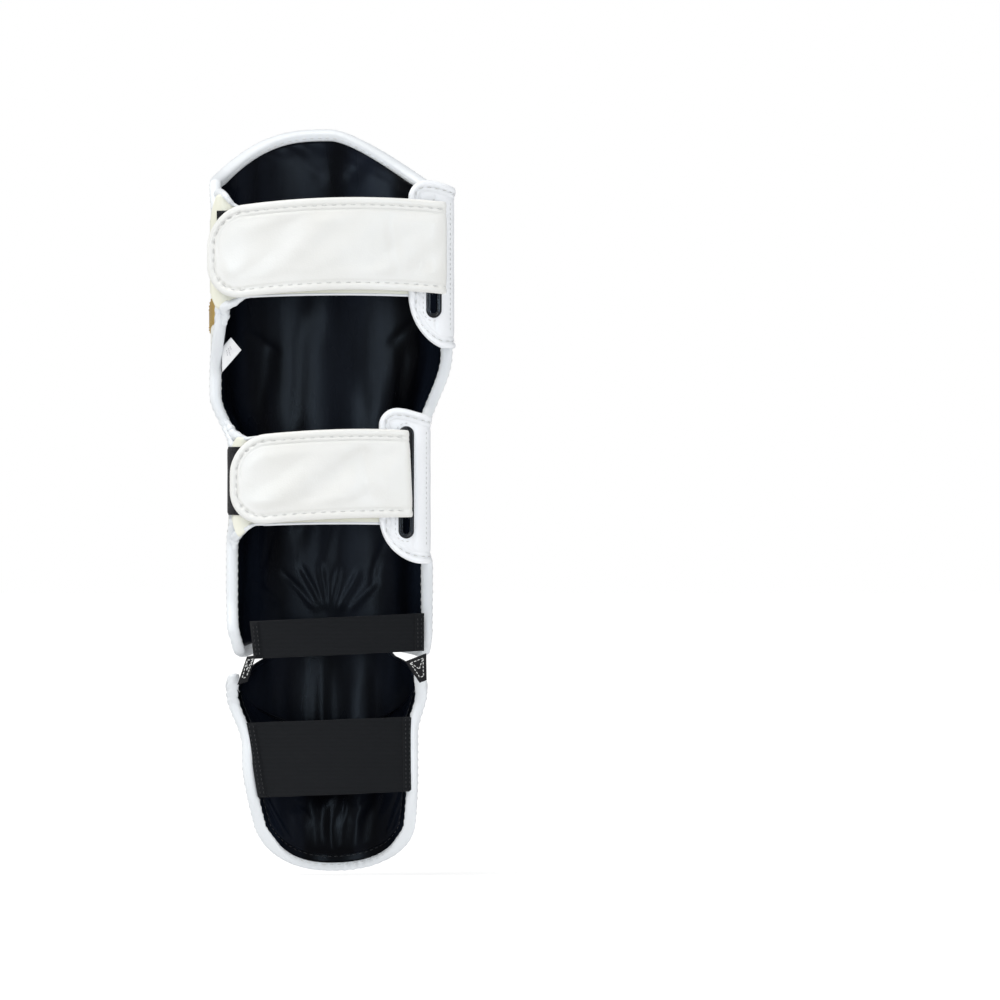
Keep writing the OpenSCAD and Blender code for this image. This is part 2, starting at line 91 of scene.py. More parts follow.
def make_sun(name, power, place, color):
    """A very soft sun that shines from a place toward the guard."""
    sun = place_light(name, "SUN", power, place, (0, 0, 0), color)
    sun.data.angle = math.radians(50)
    return sun


def make_strip(name, place):
    """A tall narrow blue-white light that shows only as a streak in glossy cloth."""
    strip = place_light(name, "AREA", 18, place, (0, 0, 0.12), (0.62, 0.8, 1.0))
    strip.data.shape = "RECTANGLE"
    strip.data.size, strip.data.size_y = 0.16, 1.4
    strip.visible_diffuse = False


def make_light():
    """An even white studio: a broad sun from above, a weaker one and upright strips in front."""
    world = bpy.data.worlds.new("world")
    bpy.context.scene.world = world
    world.use_nodes = True
    nodes, links = world.node_tree.nodes, world.node_tree.links
    glow = nodes["Background"]
    glow.inputs["Color"].default_value = (0.94, 0.97, 1.0, 1)
    glow.inputs["Strength"].default_value = 0.27
    paper = nodes.new("ShaderNodeBackground")
    paper.inputs["Color"].default_value = (1, 1, 1, 1)
    paper.inputs["Strength"].default_value = 1.0
    seen = nodes.new("ShaderNodeLightPath")
    choice = nodes.new("ShaderNodeMixShader")
    links.new(seen.outputs["Is Camera Ray"], choice.inputs["Fac"])
    links.new(glow.outputs["Background"], choice.inputs[1])
    links.new(paper.outputs["Background"], choice.inputs[2])
    links.new(choice.outputs["Shader"], nodes["World Output"].inputs["Surface"])
    bpy.context.scene.view_settings.view_transform = "Standard"
    make_sun("sky_panel", 2.85, (-1.0, -0.65, 2.0), (1, 0.99, 0.97))
    make_sun("right_fill", 0.85, (1.3, -1.3, 0.5), (1, 1, 1)).visible_glossy = False
    make_strip("left_strip", (-1.3, -2.1, 0.3))
    make_strip("right_strip", (0.75, -2.4, 0.3))


# ---- Materials ----

class Look:
    """A Principled material whose colour, roughness and bump are built up by short calls."""

    def __init__(self, name, color, rough, **sockets):
        self.material = bpy.data.materials.new(name)
        self.material.use_nodes = True
        self.nodes = self.material.node_tree.nodes
        self.links = self.material.node_tree.links
        self.shader = self.nodes["Principled BSDF"]
        self.shader.inputs["Base Color"].default_value = (*color, 1)
        self.shader.inputs["Roughness"].default_value = rough
        for key, value in sockets.items():
            self.shader.inputs[key.replace("_", " ")].default_value = value
        self.bump = None
        self.place = self.nodes.new("ShaderNodeTexCoord").outputs["Object"]
        self.material.diffuse_color = (*color, 1)

    def scaled(self, stretch):
        mapping = self.nodes.new("ShaderNodeMapping")
        mapping.inputs["Scale"].default_value = stretch
        self.links.new(self.place, mapping.inputs["Vector"])
        return mapping.outputs["Vector"]

    def texture(self, kind, vector, **sockets):
        node = self.nodes.new("ShaderNodeTex" + kind)
        for key, value in sockets.items():
            node.inputs[key].default_value = value
        self.links.new(vector, node.inputs["Vector"])
        return node

    def noise(self, scale, detail=3, stretch=(1, 1, 1)):
        return self.texture("Noise", self.scaled(stretch), Scale=scale, Detail=detail).outputs["Fac"]

    def cells(self, scale):
        return self.texture("Voronoi", self.place, Scale=scale).outputs["Distance"]

    def bands(self, scale, direction, wobble=0.0):
        node = self.texture("Wave", self.place, Scale=scale, Distortion=wobble, Detail=1)
        node.wave_type = "BANDS"
        node.bands_direction = direction
        return node.outputs["Fac"]

    def add_bump(self, height, distance, strength=1.0):
        node = self.nodes.new("ShaderNodeBump")
        node.inputs["Distance"].default_value = distance * MM
        node.inputs["Strength"].default_value = strength
        self.links.new(height, node.inputs["Height"])
        if self.bump:
            self.links.new(self.bump, node.inputs["Normal"])
        self.bump = node.outputs["Normal"]
        self.links.new(self.bump, self.shader.inputs["Normal"])

    def ramp(self, factor, low, high, start=0.3, stop=0.7):
        node = self.nodes.new("ShaderNodeValToRGB")
        for element, position, color in zip(node.color_ramp.elements, (start, stop), (low, high)):
            element.position, element.color = position, (*color, 1)
        self.links.new(factor, node.inputs["Fac"])
        return node.outputs["Color"]

    def vary_color(self, factor, low, high, start=0.3, stop=0.7):
        self.links.new(self.ramp(factor, low, high, start, stop), self.shader.inputs["Base Color"])

    def vary_rough(self, factor, low, high):
        grey = self.ramp(factor, (low,) * 3, (high,) * 3)
        self.links.new(grey, self.shader.inputs["Roughness"])


def dimmed(color, share):
    return tuple(c * share for c in color)


def leather(name, light, shade, rough):
    """Coated synthetic leather: fine pebbled grain, faint tone changes and uneven gloss."""
    look = Look(name, light, rough, Specular_IOR_Level=0.45, Coat_Weight=0.08, Coat_Roughness=0.3)
    look.vary_color(look.noise(26, 5), shade, light)
    look.vary_rough(look.noise(40, 4), rough - 0.07, rough + 0.08)
    look.add_bump(look.noise(60, 4), 0.5, 0.35)
    look.add_bump(look.cells(900), 0.10, 0.5)
    look.add_bump(look.noise(2200, 2), 0.04, 0.5)
    return look.material


def satin(name, color, shade):
    """Smooth black lining cloth with a soft blue sheen, painted highlight streaks in its colour and a very
    fine twill.
    """
    look = Look(name, color, 0.3, Sheen_Weight=0.015, Sheen_Roughness=0.35,
                Sheen_Tint=(0.35, 0.5, 0.8, 1), Specular_IOR_Level=0.11)
    # Painted highlight: the base colour is streaked upright from the darker given colour up to the lighter
    # one, standing for the shine that lamps leave in streaks on satin.
    look.vary_color(look.noise(26, 4, (1, 1, 0.16)), shade, color, 0.42, 0.72)
    look.vary_rough(look.noise(22, 3, (1, 1, 0.3)), 0.23, 0.36)
    look.add_bump(look.noise(32, 4, (1.6, 1, 0.3)), 0.9, 0.35)
    look.add_bump(look.bands(700, "DIAGONAL"), 0.05, 0.35)
    look.add_bump(look.bands(560, "Z"), 0.03, 0.25)
    return look.material


def woven(name, color, rib, direction):
    """Flat woven tape or elastic with ribs along one direction, and painted shade between the ribs."""
    look = Look(name, color, 0.82, Sheen_Weight=0.05, Sheen_Roughness=0.5,
                Specular_IOR_Level=0.15)
    # Painted shade: the colour darkens along the same bands as the rib bump, so the troughs between ribs are
    # shaded in the colour.
    look.vary_color(look.bands(rib, direction, 0.4), dimmed(color, 0.55), color, 0.2, 0.7)
    look.add_bump(look.bands(rib, direction, 0.4), 0.22, 0.7)
    look.add_bump(look.bands(rib * 1.7, "X", 0.6), 0.08, 0.6)
    look.add_bump(look.noise(500, 3), 0.08, 0.5)
    return look.material


def fuzzy(name, color):
    """Loop tape: a dense dull pile."""
    look = Look(name, color, 0.95, Sheen_Weight=0.08, Sheen_Roughness=0.6, Specular_IOR_Level=0.1)
    look.vary_color(look.noise(420, 4), dimmed(color, 0.4), dimmed(color, 1.8))
    look.add_bump(look.noise(700, 5), 0.7, 0.8)
    look.add_bump(look.cells(1100), 0.4, 0.7)
    return look.material


def rubber(name, color):
    """Smooth dark moulding with faint flow marks."""
    look = Look(name, color, 0.3, Specular_IOR_Level=0.45)
    look.vary_rough(look.noise(300, 3), 0.24, 0.38)
    look.vary_color(look.noise(120, 3), dimmed(color, 0.8), dimmed(color, 1.3))
    look.add_bump(look.noise(900, 2), 0.05, 0.5)
    return look.material


def gold_leather(name):
    """Gold-coated leather."""
    look = Look(name, (0.56, 0.37, 0.10), 0.36, Metallic=0.35, Specular_IOR_Level=0.5)
    look.vary_color(look.noise(35, 4), (0.40, 0.25, 0.06), (0.66, 0.46, 0.14))
    look.vary_rough(look.noise(80, 3), 0.3, 0.46)
    look.add_bump(look.cells(1000), 0.08, 0.5)
    look.add_bump(look.noise(60, 3), 0.3, 0.3)
    return look.material


def foam_block(name):
    look = Look(name, (0.72, 0.62, 0.34), 0.9)
    look.vary_color(look.noise(300, 4), (0.6, 0.5, 0.26), (0.78, 0.68, 0.4))
    look.add_bump(look.cells(1400), 0.3, 0.8)
    return look.material


def thread(name, color):
    """Twisted sewing thread."""
    look = Look(name, color, 0.6, Sheen_Weight=0.2)
    look.vary_color(look.noise(900, 2), dimmed(color, 0.8), color)
    look.add_bump(look.bands(1500, "DIAGONAL"), 0.06, 0.6)
    return look.material


def label_cloth(name):
    look = Look(name, (0.9, 0.91, 0.92), 0.55, Sheen_Weight=0.1)
    look.vary_color(look.noise(200, 3), (0.84, 0.85, 0.87), (0.93, 0.94, 0.95))
    look.add_bump(look.bands(900, "Z"), 0.05, 0.6)
    return look.material


def ground(name):
    """Plain white paper, lit from below as well so that shadows on it stay pale."""
    return Look(name, (0.3, 0.3, 0.3), 0.95, Specular_IOR_Level=0.0, Emission_Color=(1, 1, 1, 1),
                Emission_Strength=0.8).material


WHITE = leather("white_leather", (0.86, 0.875, 0.86), (0.82, 0.83, 0.80), 0.40)
# Painted light: the ears' white leather is a brighter, bluer copy of the cover's, making up in colour for
# the ears being turned away from the main light.
EAR_PAINTED_LIGHT = leather("ear_leather", (0.90, 0.92, 0.95), (0.86, 0.88, 0.91), 0.38)
# Painted shade: the base straps' leather is a darker, warm-tinted copy of the white cover leather, standing
# for the warm shade that falls on them.
WARM_SHADE_LEATHER = leather("warm_shade_leather", (0.84, 0.84, 0.74), (0.78, 0.78, 0.66), 0.44)
TRIM = leather("binding_leather", (0.81, 0.84, 0.87), (0.77, 0.80, 0.83), 0.36)
# Painted shade: the flaps' and tongues' white leather is a darker copy of the cover's, offsetting in colour
# the strong light that falls on them.
FLAP_PAINTED_SHADE = leather("flap_leather", (0.80, 0.805, 0.79), (0.76, 0.76, 0.735), 0.42)
# The lining's first colour is the lighter painted highlight of its streaks, and the second is its own
# near-black.
LINING = satin("lining_satin", (0.007, 0.010, 0.018), (0.0008, 0.001, 0.002))
ELASTIC = woven("elastic_weave", (0.010, 0.011, 0.013), 330, "Z")
WEBBING = woven("tab_webbing", (0.018, 0.018, 0.02), 420, "DIAGONAL")
LOOP = fuzzy("loop_pile", (0.012, 0.012, 0.014))
HOOK = rubber("hook_tape_plastic", (0.03, 0.03, 0.034))
RUBBER = rubber("slot_rubber", (0.005, 0.005, 0.006))
GOLD = gold_leather("gold_leather")
FOAM = foam_block("foam_block")
WHITE_THREAD = thread("white_thread", (0.80, 0.81, 0.80))
DARK_THREAD = thread("dark_thread", (0.010, 0.010, 0.012))
# Painted shade: white sewing thread greyed to stand for the shadows in and beside its stitch holes.
PALE_THREAD = thread("pale_thread", (0.70, 0.71, 0.70))
PRINT = thread("label_print", (0.12, 0.12, 0.16))
LABEL = label_cloth("label_cloth")


# ---- Small tools ----

def ease(t):
    c = max(0.0, min(1.0, t))
    return c * c * (3 - 2 * c)


def mix(a, b, t):
    return a * (1 - t) + b * t


def lerp(p, q, t):
    return tuple(a * (1 - t) + b * t for a, b in zip(p, q))


def plateau(z, middle, half, soft):
    return ease((half - abs(z - middle)) / soft)


def bell(x, width):
    return math.exp(-(x / width) ** 2)


def rounded(gap, radius):
    """Share of a sheet's full thickness at a distance in from its rounded rim."""
    return math.sqrt(max(0.0, 1 - (1 - min(1, gap / radius)) ** 2))


def outward(place):
    """The direction from the leg's upright axis to a place."""
    return Vector((place.x, place.y, 0))


def inward(place):
    return -outward(place)


def calf_facing(bend=0.0):
    """Directions toward the calf side that turn outward by bend a millimetre from the middle."""
    return lambda place: Vector((place.x * bend, -1, 0))


def rough_at(x, y, z, size):
    """Smooth noise from -1 to 1 whose lumps are about size millimetres across."""
    return noise.noise(Vector((x / size, y / size, z / size)))


def fix_normals(mesh):
    shape = bmesh.new()
    shape.from_mesh(mesh)
    bmesh.ops.recalc_face_normals(shape, faces=shape.faces)
    shape.to_mesh(mesh)
    shape.free()


def add_piece(name, points, faces, material, body, slot, replaces=()):
    """Makes a mesh from points in millimetres, and gives it its material and body. slot is not used."""
    mesh = bpy.data.meshes.new(name)
    mesh.from_pydata([(x * MM, y * MM, z * MM) for x, y, z in points], [], faces)
    fix_normals(mesh)
    mesh.polygons.foreach_set("use_smooth", [True] * len(mesh.polygons))
    mesh.materials.append(material)
    piece = new_object(name, mesh)
    if body:
        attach(piece, body)
    if replaces:
        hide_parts(*replaces)
    return piece


def keep_modified(piece):
    """Makes a piece's shape with its modifiers its own mesh."""
    shaped = piece.evaluated_get(bpy.context.evaluated_depsgraph_get())
    mesh = bpy.data.meshes.new_from_object(shaped)
    piece.modifiers.clear()
    old = piece.data
    piece.data = mesh
    bpy.data.meshes.remove(old)


def grid_faces(nu, nv, start=0, turned=False):
    """The quads of a grid whose points run along v first."""
    faces = []
    for i in range(nu):
        for j in range(nv):
            a = start + i * (nv + 1) + j
            quad = (a, a + nv + 1, a + nv + 2, a + 1)
            faces.append(quad[::-1] if turned else quad)
    return faces


def border_of(nu, nv):
    """Indices of a grid's border points, in order round it."""
    def at(i, j):
        return i * (nv + 1) + j

    return ([at(i, 0) for i in range(nu)] + [at(nu, j) for j in range(nv)]
            + [at(i, nv) for i in range(nu, 0, -1)] + [at(0, j) for j in range(nv, 0, -1)])


def slab(name, top, bottom, nu, nv, *rest, **more):
    """A closed sheet between two grids of points."""
    points = [top(i / nu, j / nv) for i in range(nu + 1) for j in range(nv + 1)]
    side = len(points)
    points += [bottom(i / nu, j / nv) for i in range(nu + 1) for j in range(nv + 1)]
    faces = grid_faces(nu, nv) + grid_faces(nu, nv, side, True)
    ring = border_of(nu, nv)
    for a, b in zip(ring, ring[1:] + ring[:1]):
        faces.append((b, a, a + side, b + side))
    return add_piece(name, points, faces, *rest, **more)


def sweep(name, sections, closed, *rest, **more):
    """A tube through sections that have the same number of points."""
    m, n = len(sections[0]), len(sections)
    points = [p for section in sections for p in section]
    faces = []
    for k in range(n if closed else n - 1):
        for s in range(m):
            t, q = (s + 1) % m, (k + 1) % n
            faces.append((k * m + s, k * m + t, q * m + t, q * m + s))
    if not closed:
        faces.append(tuple(range(m)))
        faces.append(tuple((n - 1) * m + s for s in range(m))[::-1])
    return add_piece(name, points, faces, *rest, **more)


def along(points, step):
    """Places a step apart along a polyline, each with its direction."""
    found, left = [], step / 2
    for a, b in zip(points, points[1:]):
        a, b = Vector(a), Vector(b)
        length = (b - a).length
        if length < 1e-6:
            continue
        while left <= length:
            found.append((a + (b - a) * (left / length), (b - a) / length))
            left += step
        left -= length
    return found


# Each kind of stitch: from one to the next, its length, and its thread's radius.
BIND_STITCH = (5.6, 3.4, 0.32)
PAD_STITCH = (5.6, 3.6, 0.34)
GOLD_STITCH = (5.2, 3.2, 0.3)
FLAP_STITCH = (7.0, 4.6, 0.4)
EAR_STITCH = (6.0, 3.8, 0.34)
SLOT_STITCH = (3.6, 2.3, 0.24)
ELASTIC_STITCH = (3.2, 1.7, 0.24)
CUSHION_STITCH = (4.6, 3.0, 0.26)
TAB_STITCH = (2.6, 2.1, 0.34)
PRINT_DASH = (1.5, 0.8, 0.2)


def stitches(name, lines, normal_of, pitch, length, radius, material, body, slot):
    """Short arched threads along lines. normal_of gives the surface's direction at a point."""
    points, faces = [], []
    sides, rings = 6, 5
    for line in lines:
        for middle, direction in along(line, pitch):
            up = Vector(normal_of(middle)).normalized()
            across = direction.cross(up).normalized()
            start = len(points)
            for r in range(rings):
                t = r / (rings - 1) * 2 - 1
                fat = radius * (1 - t ** 4) ** 0.5 * 0.9 + 0.02
                lift = radius * (0.55 - 0.9 * t * t)
                core = middle + direction * (t * length / 2) + up * lift
                for s in range(sides):
                    turn = 2 * math.pi * s / sides
                    points.append(tuple(core + (across * math.cos(turn) + up * math.sin(turn)) * fat))
            for r in range(rings - 1):
                for s in range(sides):
                    a, b = start + r * sides + s, start + r * sides + (s + 1) % sides
                    faces.append((a, b, b + sides, a + sides))
            faces.append(tuple(start + s for s in range(sides))[::-1])
            faces.append(tuple(start + (rings - 1) * sides + s for s in range(sides)))
    return add_piece(name, points, faces, material, body, slot)


def cord_tube(name, path, radius, closed, *rest, **more):
    """A round tube of constant radius along a path."""
    sections, n, sides = [], len(path), 8
    for k in range(n):
        p = Vector(path[k])
        ahead = Vector(path[(k + 1) % n] if closed else path[min(k + 1, n - 1)])
        behind = Vector(path[k - 1] if closed else path[max(k - 1, 0)])
        direction = (ahead - behind).normalized()
        side = direction.cross(Vector((0, 0, 1)) if abs(direction.z) < 0.9 else Vector((0, 1, 0)))
        side.normalize()
        up = side.cross(direction)
        sections.append([tuple(p + (side * math.cos(2 * math.pi * s / sides)
                                    + up * math.sin(2 * math.pi * s / sides)) * radius)
                         for s in range(sides)])
    return sweep(name, sections, closed, *rest, **more)


def simulated(piece, pinned, pressure, slack, frames, cap):
    """Inflates a piece with cloth while its pinned points stay, then keeps the result as its mesh."""
    group = piece.vertex_groups.new(name="pinned")
    group.add(pinned, 1.0, "REPLACE")
    before = [v.co.copy() for v in piece.data.vertices]
    cloth = piece.modifiers.new("cloth", "CLOTH")
    set_up = cloth.settings
    set_up.vertex_group_mass = "pinned"
    set_up.quality = 5
    set_up.mass = 0.25
    set_up.tension_stiffness = set_up.compression_stiffness = 18
    set_up.shear_stiffness = 8
    set_up.bending_stiffness = 0.4
    set_up.shrink_min = slack
    set_up.use_pressure = True
    set_up.uniform_pressure_force = pressure
    set_up.effector_weights.gravity = 0
    cloth.collision_settings.use_self_collision = False
    cloth.collision_settings.use_collision = False
    cloth.point_cache.frame_start, cloth.point_cache.frame_end = 1, frames
    for step in range(1, frames + 1):
        bpy.context.scene.frame_set(step)
    shaped = piece.evaluated_get(bpy.context.evaluated_depsgraph_get())
    after = [v.co.copy() for v in shaped.data.vertices]
    piece.modifiers.remove(cloth)
    piece.vertex_groups.remove(group)
    for vertex, old, new in zip(piece.data.vertices, before, after):
        move = new - old
        far = move.length
        if far > 1e-9:
            vertex.co = old + move * (cap * MM * math.tanh(far / (cap * MM)) / far)
    bpy.context.scene.frame_set(1)


def refine(piece):
    """Smooths a piece by one level of subdivision."""
    piece.modifiers.new("smooth", "SUBSURF").levels = 1
    keep_modified(piece)


# ---- The two shells, by the same rules as the frame ----

BIND_WIDE = 7.0
EDGE_THICK = 9.0
FRONT_THICK = 14.0
SKIN = 1.0
HINGE_Y = -12.0
BACK_DEPTH = 70.0
LEFT_WING, RIGHT_WING, STEP_WING = 98.0, 96.0, 98.0
SHIN_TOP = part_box("shin_edge_binding")[1][2] / MM
STEP_DROP = -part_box("instep_edge_binding")[0][2] / MM
CORNER_DROP = 6.0
CORNER_TURN = 6.0
STRAP_DIP = 1.2
THIN_EDGE = 0.68


def shin_left(z):
    return (mix(74.5, 86.5, ease((z - 158) / 37)) - 6 * ease((30 - z) / 26)
            - STRAP_DIP * bell(z - 126, 26))


def shin_right(z):
    return (mix(70.2, 87.2, ease((z - 164) / 60)) + 2.8 * ease((86 - z) / 14)
            - 2.4 * ease((24 - z) / 20))


def shin_front(z):
    return 60 + 6 * ease((z - 250) / 140)


def left_tip(z):
    return (LEFT_WING + 15 * plateau(z, 280, 75, 50) + 10 * plateau(z, 130, 45, 22)
            + 5 * ease((48 - z) / 25))


def right_tip(z):
    return (RIGHT_WING + 5 * ease((48 - z) / 30) + 12 * plateau(z, 290, 62, 30)
            + 12 * plateau(z, 130, 58, 25))


def step_left(z):
    return 63 + 12 * ease((z + 60) / 42) - 12 * ease((-68 - z) / 75)


def step_right(z):
    return 62.5 + 7 * ease((z + 50) / 32) - 4 * ease((-80 - z) / 70)


def on_shell(angle, z, half, front, back, depth):
    a = math.radians(angle)
    reach = (back if abs(angle) > 90 else front) - depth
    return ((half - depth) * math.sin(a), reach * math.cos(a), z)


def crown(angle):
    side = abs(math.sin(math.radians(angle)))
    return SHIN_TOP - (33 * side ** 3.1 if angle < 0 else 46.5 * side ** 1.47)


def ahead_of_hinge(angle, front):
    reach = BACK_DEPTH if abs(angle) > 90 else front
    return max(0.0, reach * math.cos(math.radians(angle)) - HINGE_Y)


def toward_end(t):
    return abs(2 * t - 1) ** 12


def shin_z(u, v):
    a, drop = mix(-LEFT_WING, RIGHT_WING, u), CORNER_DROP * toward_end(u)
    return mix(2 + 0.13 * ahead_of_hinge(a, 60) + drop, crown(a) - drop, v)


def shin_angle(u, v, z):
    turn = CORNER_TURN * toward_end(v)
    return mix(-left_tip(z) + turn, right_tip(z) - turn, u)


def shin_at(u, v, depth):
    z = shin_z(u, v)
    a = shin_angle(u, v, z)
    return on_shell(a, z, shin_left(z) if a < 0 else shin_right(z), shin_front(z), BACK_DEPTH, depth)


def thinned(u, around):
    """The padding thins toward the wings' bound edges."""
    return mix(THIN_EDGE, 1, ease(min(u, 1 - u) * around / 28))


def shin_thick(u, v):
    angle = shin_angle(u, v, shin_z(u, v))
    return mix(EDGE_THICK, FRONT_THICK, ease((70 - abs(angle)) / 60)) * thinned(u, 270)


def step_z(u, v):
    a = mix(-STEP_WING, STEP_WING, u)
    toe = -STEP_DROP + 32 * (abs(a) / STEP_WING) ** 2.2
    return mix(toe, -5 - 0.532 * ahead_of_hinge(a, 60), v)


def step_angle(u, v, z):
    turn, wrap = 2 * CORNER_TURN * (1 - v) ** 10, 9 * ease((z + 30) / 22)
    return mix(-STEP_WING - wrap + turn, STEP_WING + wrap - turn, u)


def step_at(u, v, depth):
    z = step_z(u, v)
    a = step_angle(u, v, z)
    front = 60 - 14 * ease(-z / 110)
    return on_shell(a, z, step_left(z) if a < 0 else step_right(z), front, 60, depth)


def step_thick(u, v):
    return EDGE_THICK * thinned(u, 215)


SHIN_DU, SHIN_DV = BIND_WIDE / 270, (BIND_WIDE + 1.5) / 365
STEP_DU, STEP_DV = BIND_WIDE / 215, BIND_WIDE / 125


def shin_uv(a, b):
    return mix(SHIN_DU, 1 - SHIN_DU, a), mix(SHIN_DV, 1 - SHIN_DV, b)


def step_uv(a, b):
    return mix(STEP_DU, 1 - STEP_DU, a), mix(STEP_DV, 1, b)


def unit_border(nu, nv):
    """Places round a unit square, from 0, 0 along a first."""
    return ([(i / nu, 0) for i in range(nu)] + [(1, j / nv) for j in range(nv)]
            + [(i / nu, 1) for i in range(nu, 0, -1)] + [(0, j / nv) for j in range(nv, 0, -1)])


# ---- Lining folds ----

# Soft folds of the shin lining: x and z of both ends, width and height, all in millimetres.
SHIN_FOLDS = [
    (-54, 150, -57, 30, 5.0, 1.2), (-22, 250, -26, 165, 7.0, 1.0), (-8, 330, -14, 240, 8.0, 0.9),
    (-14, 150, -22, 90, 6.0, 1.3), (6, 130, -4, 70, 5.0, 1.0), (55, 230, 50, 170, 5.0, 1.1),
    (52, 150, 56, 40, 5.0, 1.1), (24, 200, 30, 120, 7.0, 0.8), (-44, 230, -52, 180, 5.0, 0.9),
    (-36, 66, -12, 40, 2.4, 1.1), (-22, 70, -8, 42, 2.2, 1.2), (-8, 72, -4, 42, 2.2, 1.1),
    (6, 70, 0, 42, 2.2, 1.0), (20, 66, 6, 40, 2.4, 1.1), (34, 60, 14, 40, 2.6, 0.9),
    (-58, 60, -40, 44, 2.6, 0.9), (40, 92, 30, 60, 3.0, 0.8), (-40, 110, -50, 70, 3.0, 0.8),
    (-60, 240, -40, 226, 3.0, 0.8), (62, 250, 44, 232, 3.0, 0.8), (-30, 372, -6, 352, 5.0, 0.7),
    (30, 370, 12, 350, 5.0, 0.7),
]
# The same for the instep cushion.
STEP_FOLDS = [
    (-14, -16, -10, -62, 4.5, 1.3), (0, -10, -2, -66, 4.0, 1.0), (-9, -98, -6, -138, 5.0, 1.4),
    (14, -96, 8, -136, 4.5, 0.9), (34, -20, 28, -60, 4.0, 0.9), (-36, -20, -32, -56, 4.0, 0.9),
    (30, -104, 24, -134, 4.0, 0.8), (-28, -104, -26, -132, 4.0, 0.8),
]


def fold_rise(x, z, folds):
    """Height of the folds at a place seen from the calf side."""
    rise = 0.0
    for x0, z0, x1, z1, width, height in folds:
        dx, dz = x1 - x0, z1 - z0
        size = dx * dx + dz * dz
        t = ((x - x0) * dx + (z - z0) * dz) / size
        if -0.3 < t < 1.3:
            off = ((x - x0) * dz - (z - z0) * dx) / math.sqrt(size)
            off += 1.2 * rough_at(x, 0, z, 22)
            if abs(off) < 3 * width:
                rise += height * bell(off, width) * ease(t / 0.35 + 0.5) * ease((1 - t) / 0.35 + 0.5)
    return rise


def edge_pull(place, gap_to_edge, pitch=9.0):
    """Small gathers where a cloth is sewn down, fading away from the seam."""
    x, y, z = place
    ripple = math.sin(2 * math.pi * (z + 0.6 * x) / pitch + 2 * rough_at(x, y, z, 30))
    return 0.35 * ripple * math.exp(-gap_to_edge / 5)


# ---- Shells ----

def shin_lining_rise(a, b, place):
    """Height of the shin lining's folds, gathers and fullness."""
    x, y, z = place
    gap = min(min(a, 1 - a) * 250, min(b, 1 - b) * 360)
    rise = fold_rise(x, z, SHIN_FOLDS) + edge_pull(place, gap)
    return rise + 0.5 * rough_at(x, y, z * 0.4, 30) + 1.2 * ease(gap / 14) - 0.2


def step_lining_rise(a, b, place):
    x, y, z = place
    return 0.3 + 0.3 * rough_at(x, y, z, 16) + edge_pull(place, min(a, 1 - a) * 200, 7)


def make_shell(body, at, to_uv, thick_of, lining_rise, size, foam_size):
    """A shell's cover, foam and lining, each a skin of its own."""
    def outer(depth):
        return lambda a, b: at(*to_uv(a, b), depth)

    def under_lining(gap):
        return lambda a, b: at(*to_uv(a, b), thick_of(*to_uv(a, b)) - SKIN - gap)

    def lining_face(a, b):
        u, v = to_uv(a, b)
        thick = thick_of(u, v)
        return at(u, v, thick + lining_rise(a, b, at(u, v, thick)))

    slab(body + "_cover_skin", outer(0), outer(SKIN), *size, WHITE, body, "cover",
         replaces=(body + "_cover",))
    slab(body + "_foam_block", outer(SKIN + 0.05), under_lining(0.3), *foam_size, FOAM, body, "foam",
         replaces=(body + "_foam_core",))
    slab(body + "_lining_cloth", under_lining(0), lining_face, *size, LINING, body, "lining",
         replaces=(body + "_lining",))


# ---- Edge binding ----

# The binding's outline in section: share of its width, and side of the sandwich from -1 to 1.
BIND_FLAT = [0.0, 0.12, 0.3, 0.5]
BIND_TURN = [math.radians(a) for a in range(75, -76, -25)]


def bind_section(at, inset, tip, thick, ripple):
    """One section of binding, from the cover over the rounded tip to the lining."""
    proud = 0.7 + 0.42 * ripple

    def spot(w, depth):
        return at(mix(inset[0], tip[0], w), mix(inset[1], tip[1], w), depth)

    def puff(w):
        return 0.15 + proud * math.sin(math.pi * min(1, 0.15 + w)) ** 0.6

    section = [spot(w, -puff(w)) for w in BIND_FLAT]
    half = thick / 2 + puff(0.5)
    for turn in BIND_TURN:
        section.append(spot(0.5 + (0.5 + 0.04 * ripple) * math.cos(turn),
                            thick / 2 - half * math.sin(turn)))
    section += [spot(w, thick + puff(w)) for w in reversed(BIND_FLAT)]
    return section


def lengths_along(points):
    """Length of a polyline up to each of its points."""
    run = [0.0]
    for a, b in zip(points, points[1:]):
        run.append(run[-1] + (Vector(b) - Vector(a)).length)
    return run


def behind_ear(x, y, z):
    """The right wing's rear edge is faced with black cloth where an ear covers it."""
    return x > 0 and y < 0 and (234 < z < 343 or 82 < z < 178)


def make_top_facing():
    """The black facing that closes the instep's upper edge, where the soft ankle panel starts."""
    pairs = [((u, 0.972), (u, 1.012)) for u in (mix(0.02, 0.98, k / 150) for k in range(151))]
    sections = [bind_section(step_at, inset, tip, step_thick(*inset), 0.3 * rough_at(k, 0, 0, 9))
                for k, (inset, tip) in enumerate(pairs)]
    facing = sweep("instep_top_facing", sections, False, LINING, "instep", "lining")
    facing.data.materials.append(TRIM)
    for face in facing.data.polygons:
        x, y = face.center.xy / MM
        inside = face.normal.x * x + face.normal.y * y < -0.4 * math.hypot(x, y)
        face.material_index = int(y < 12 and not inside)


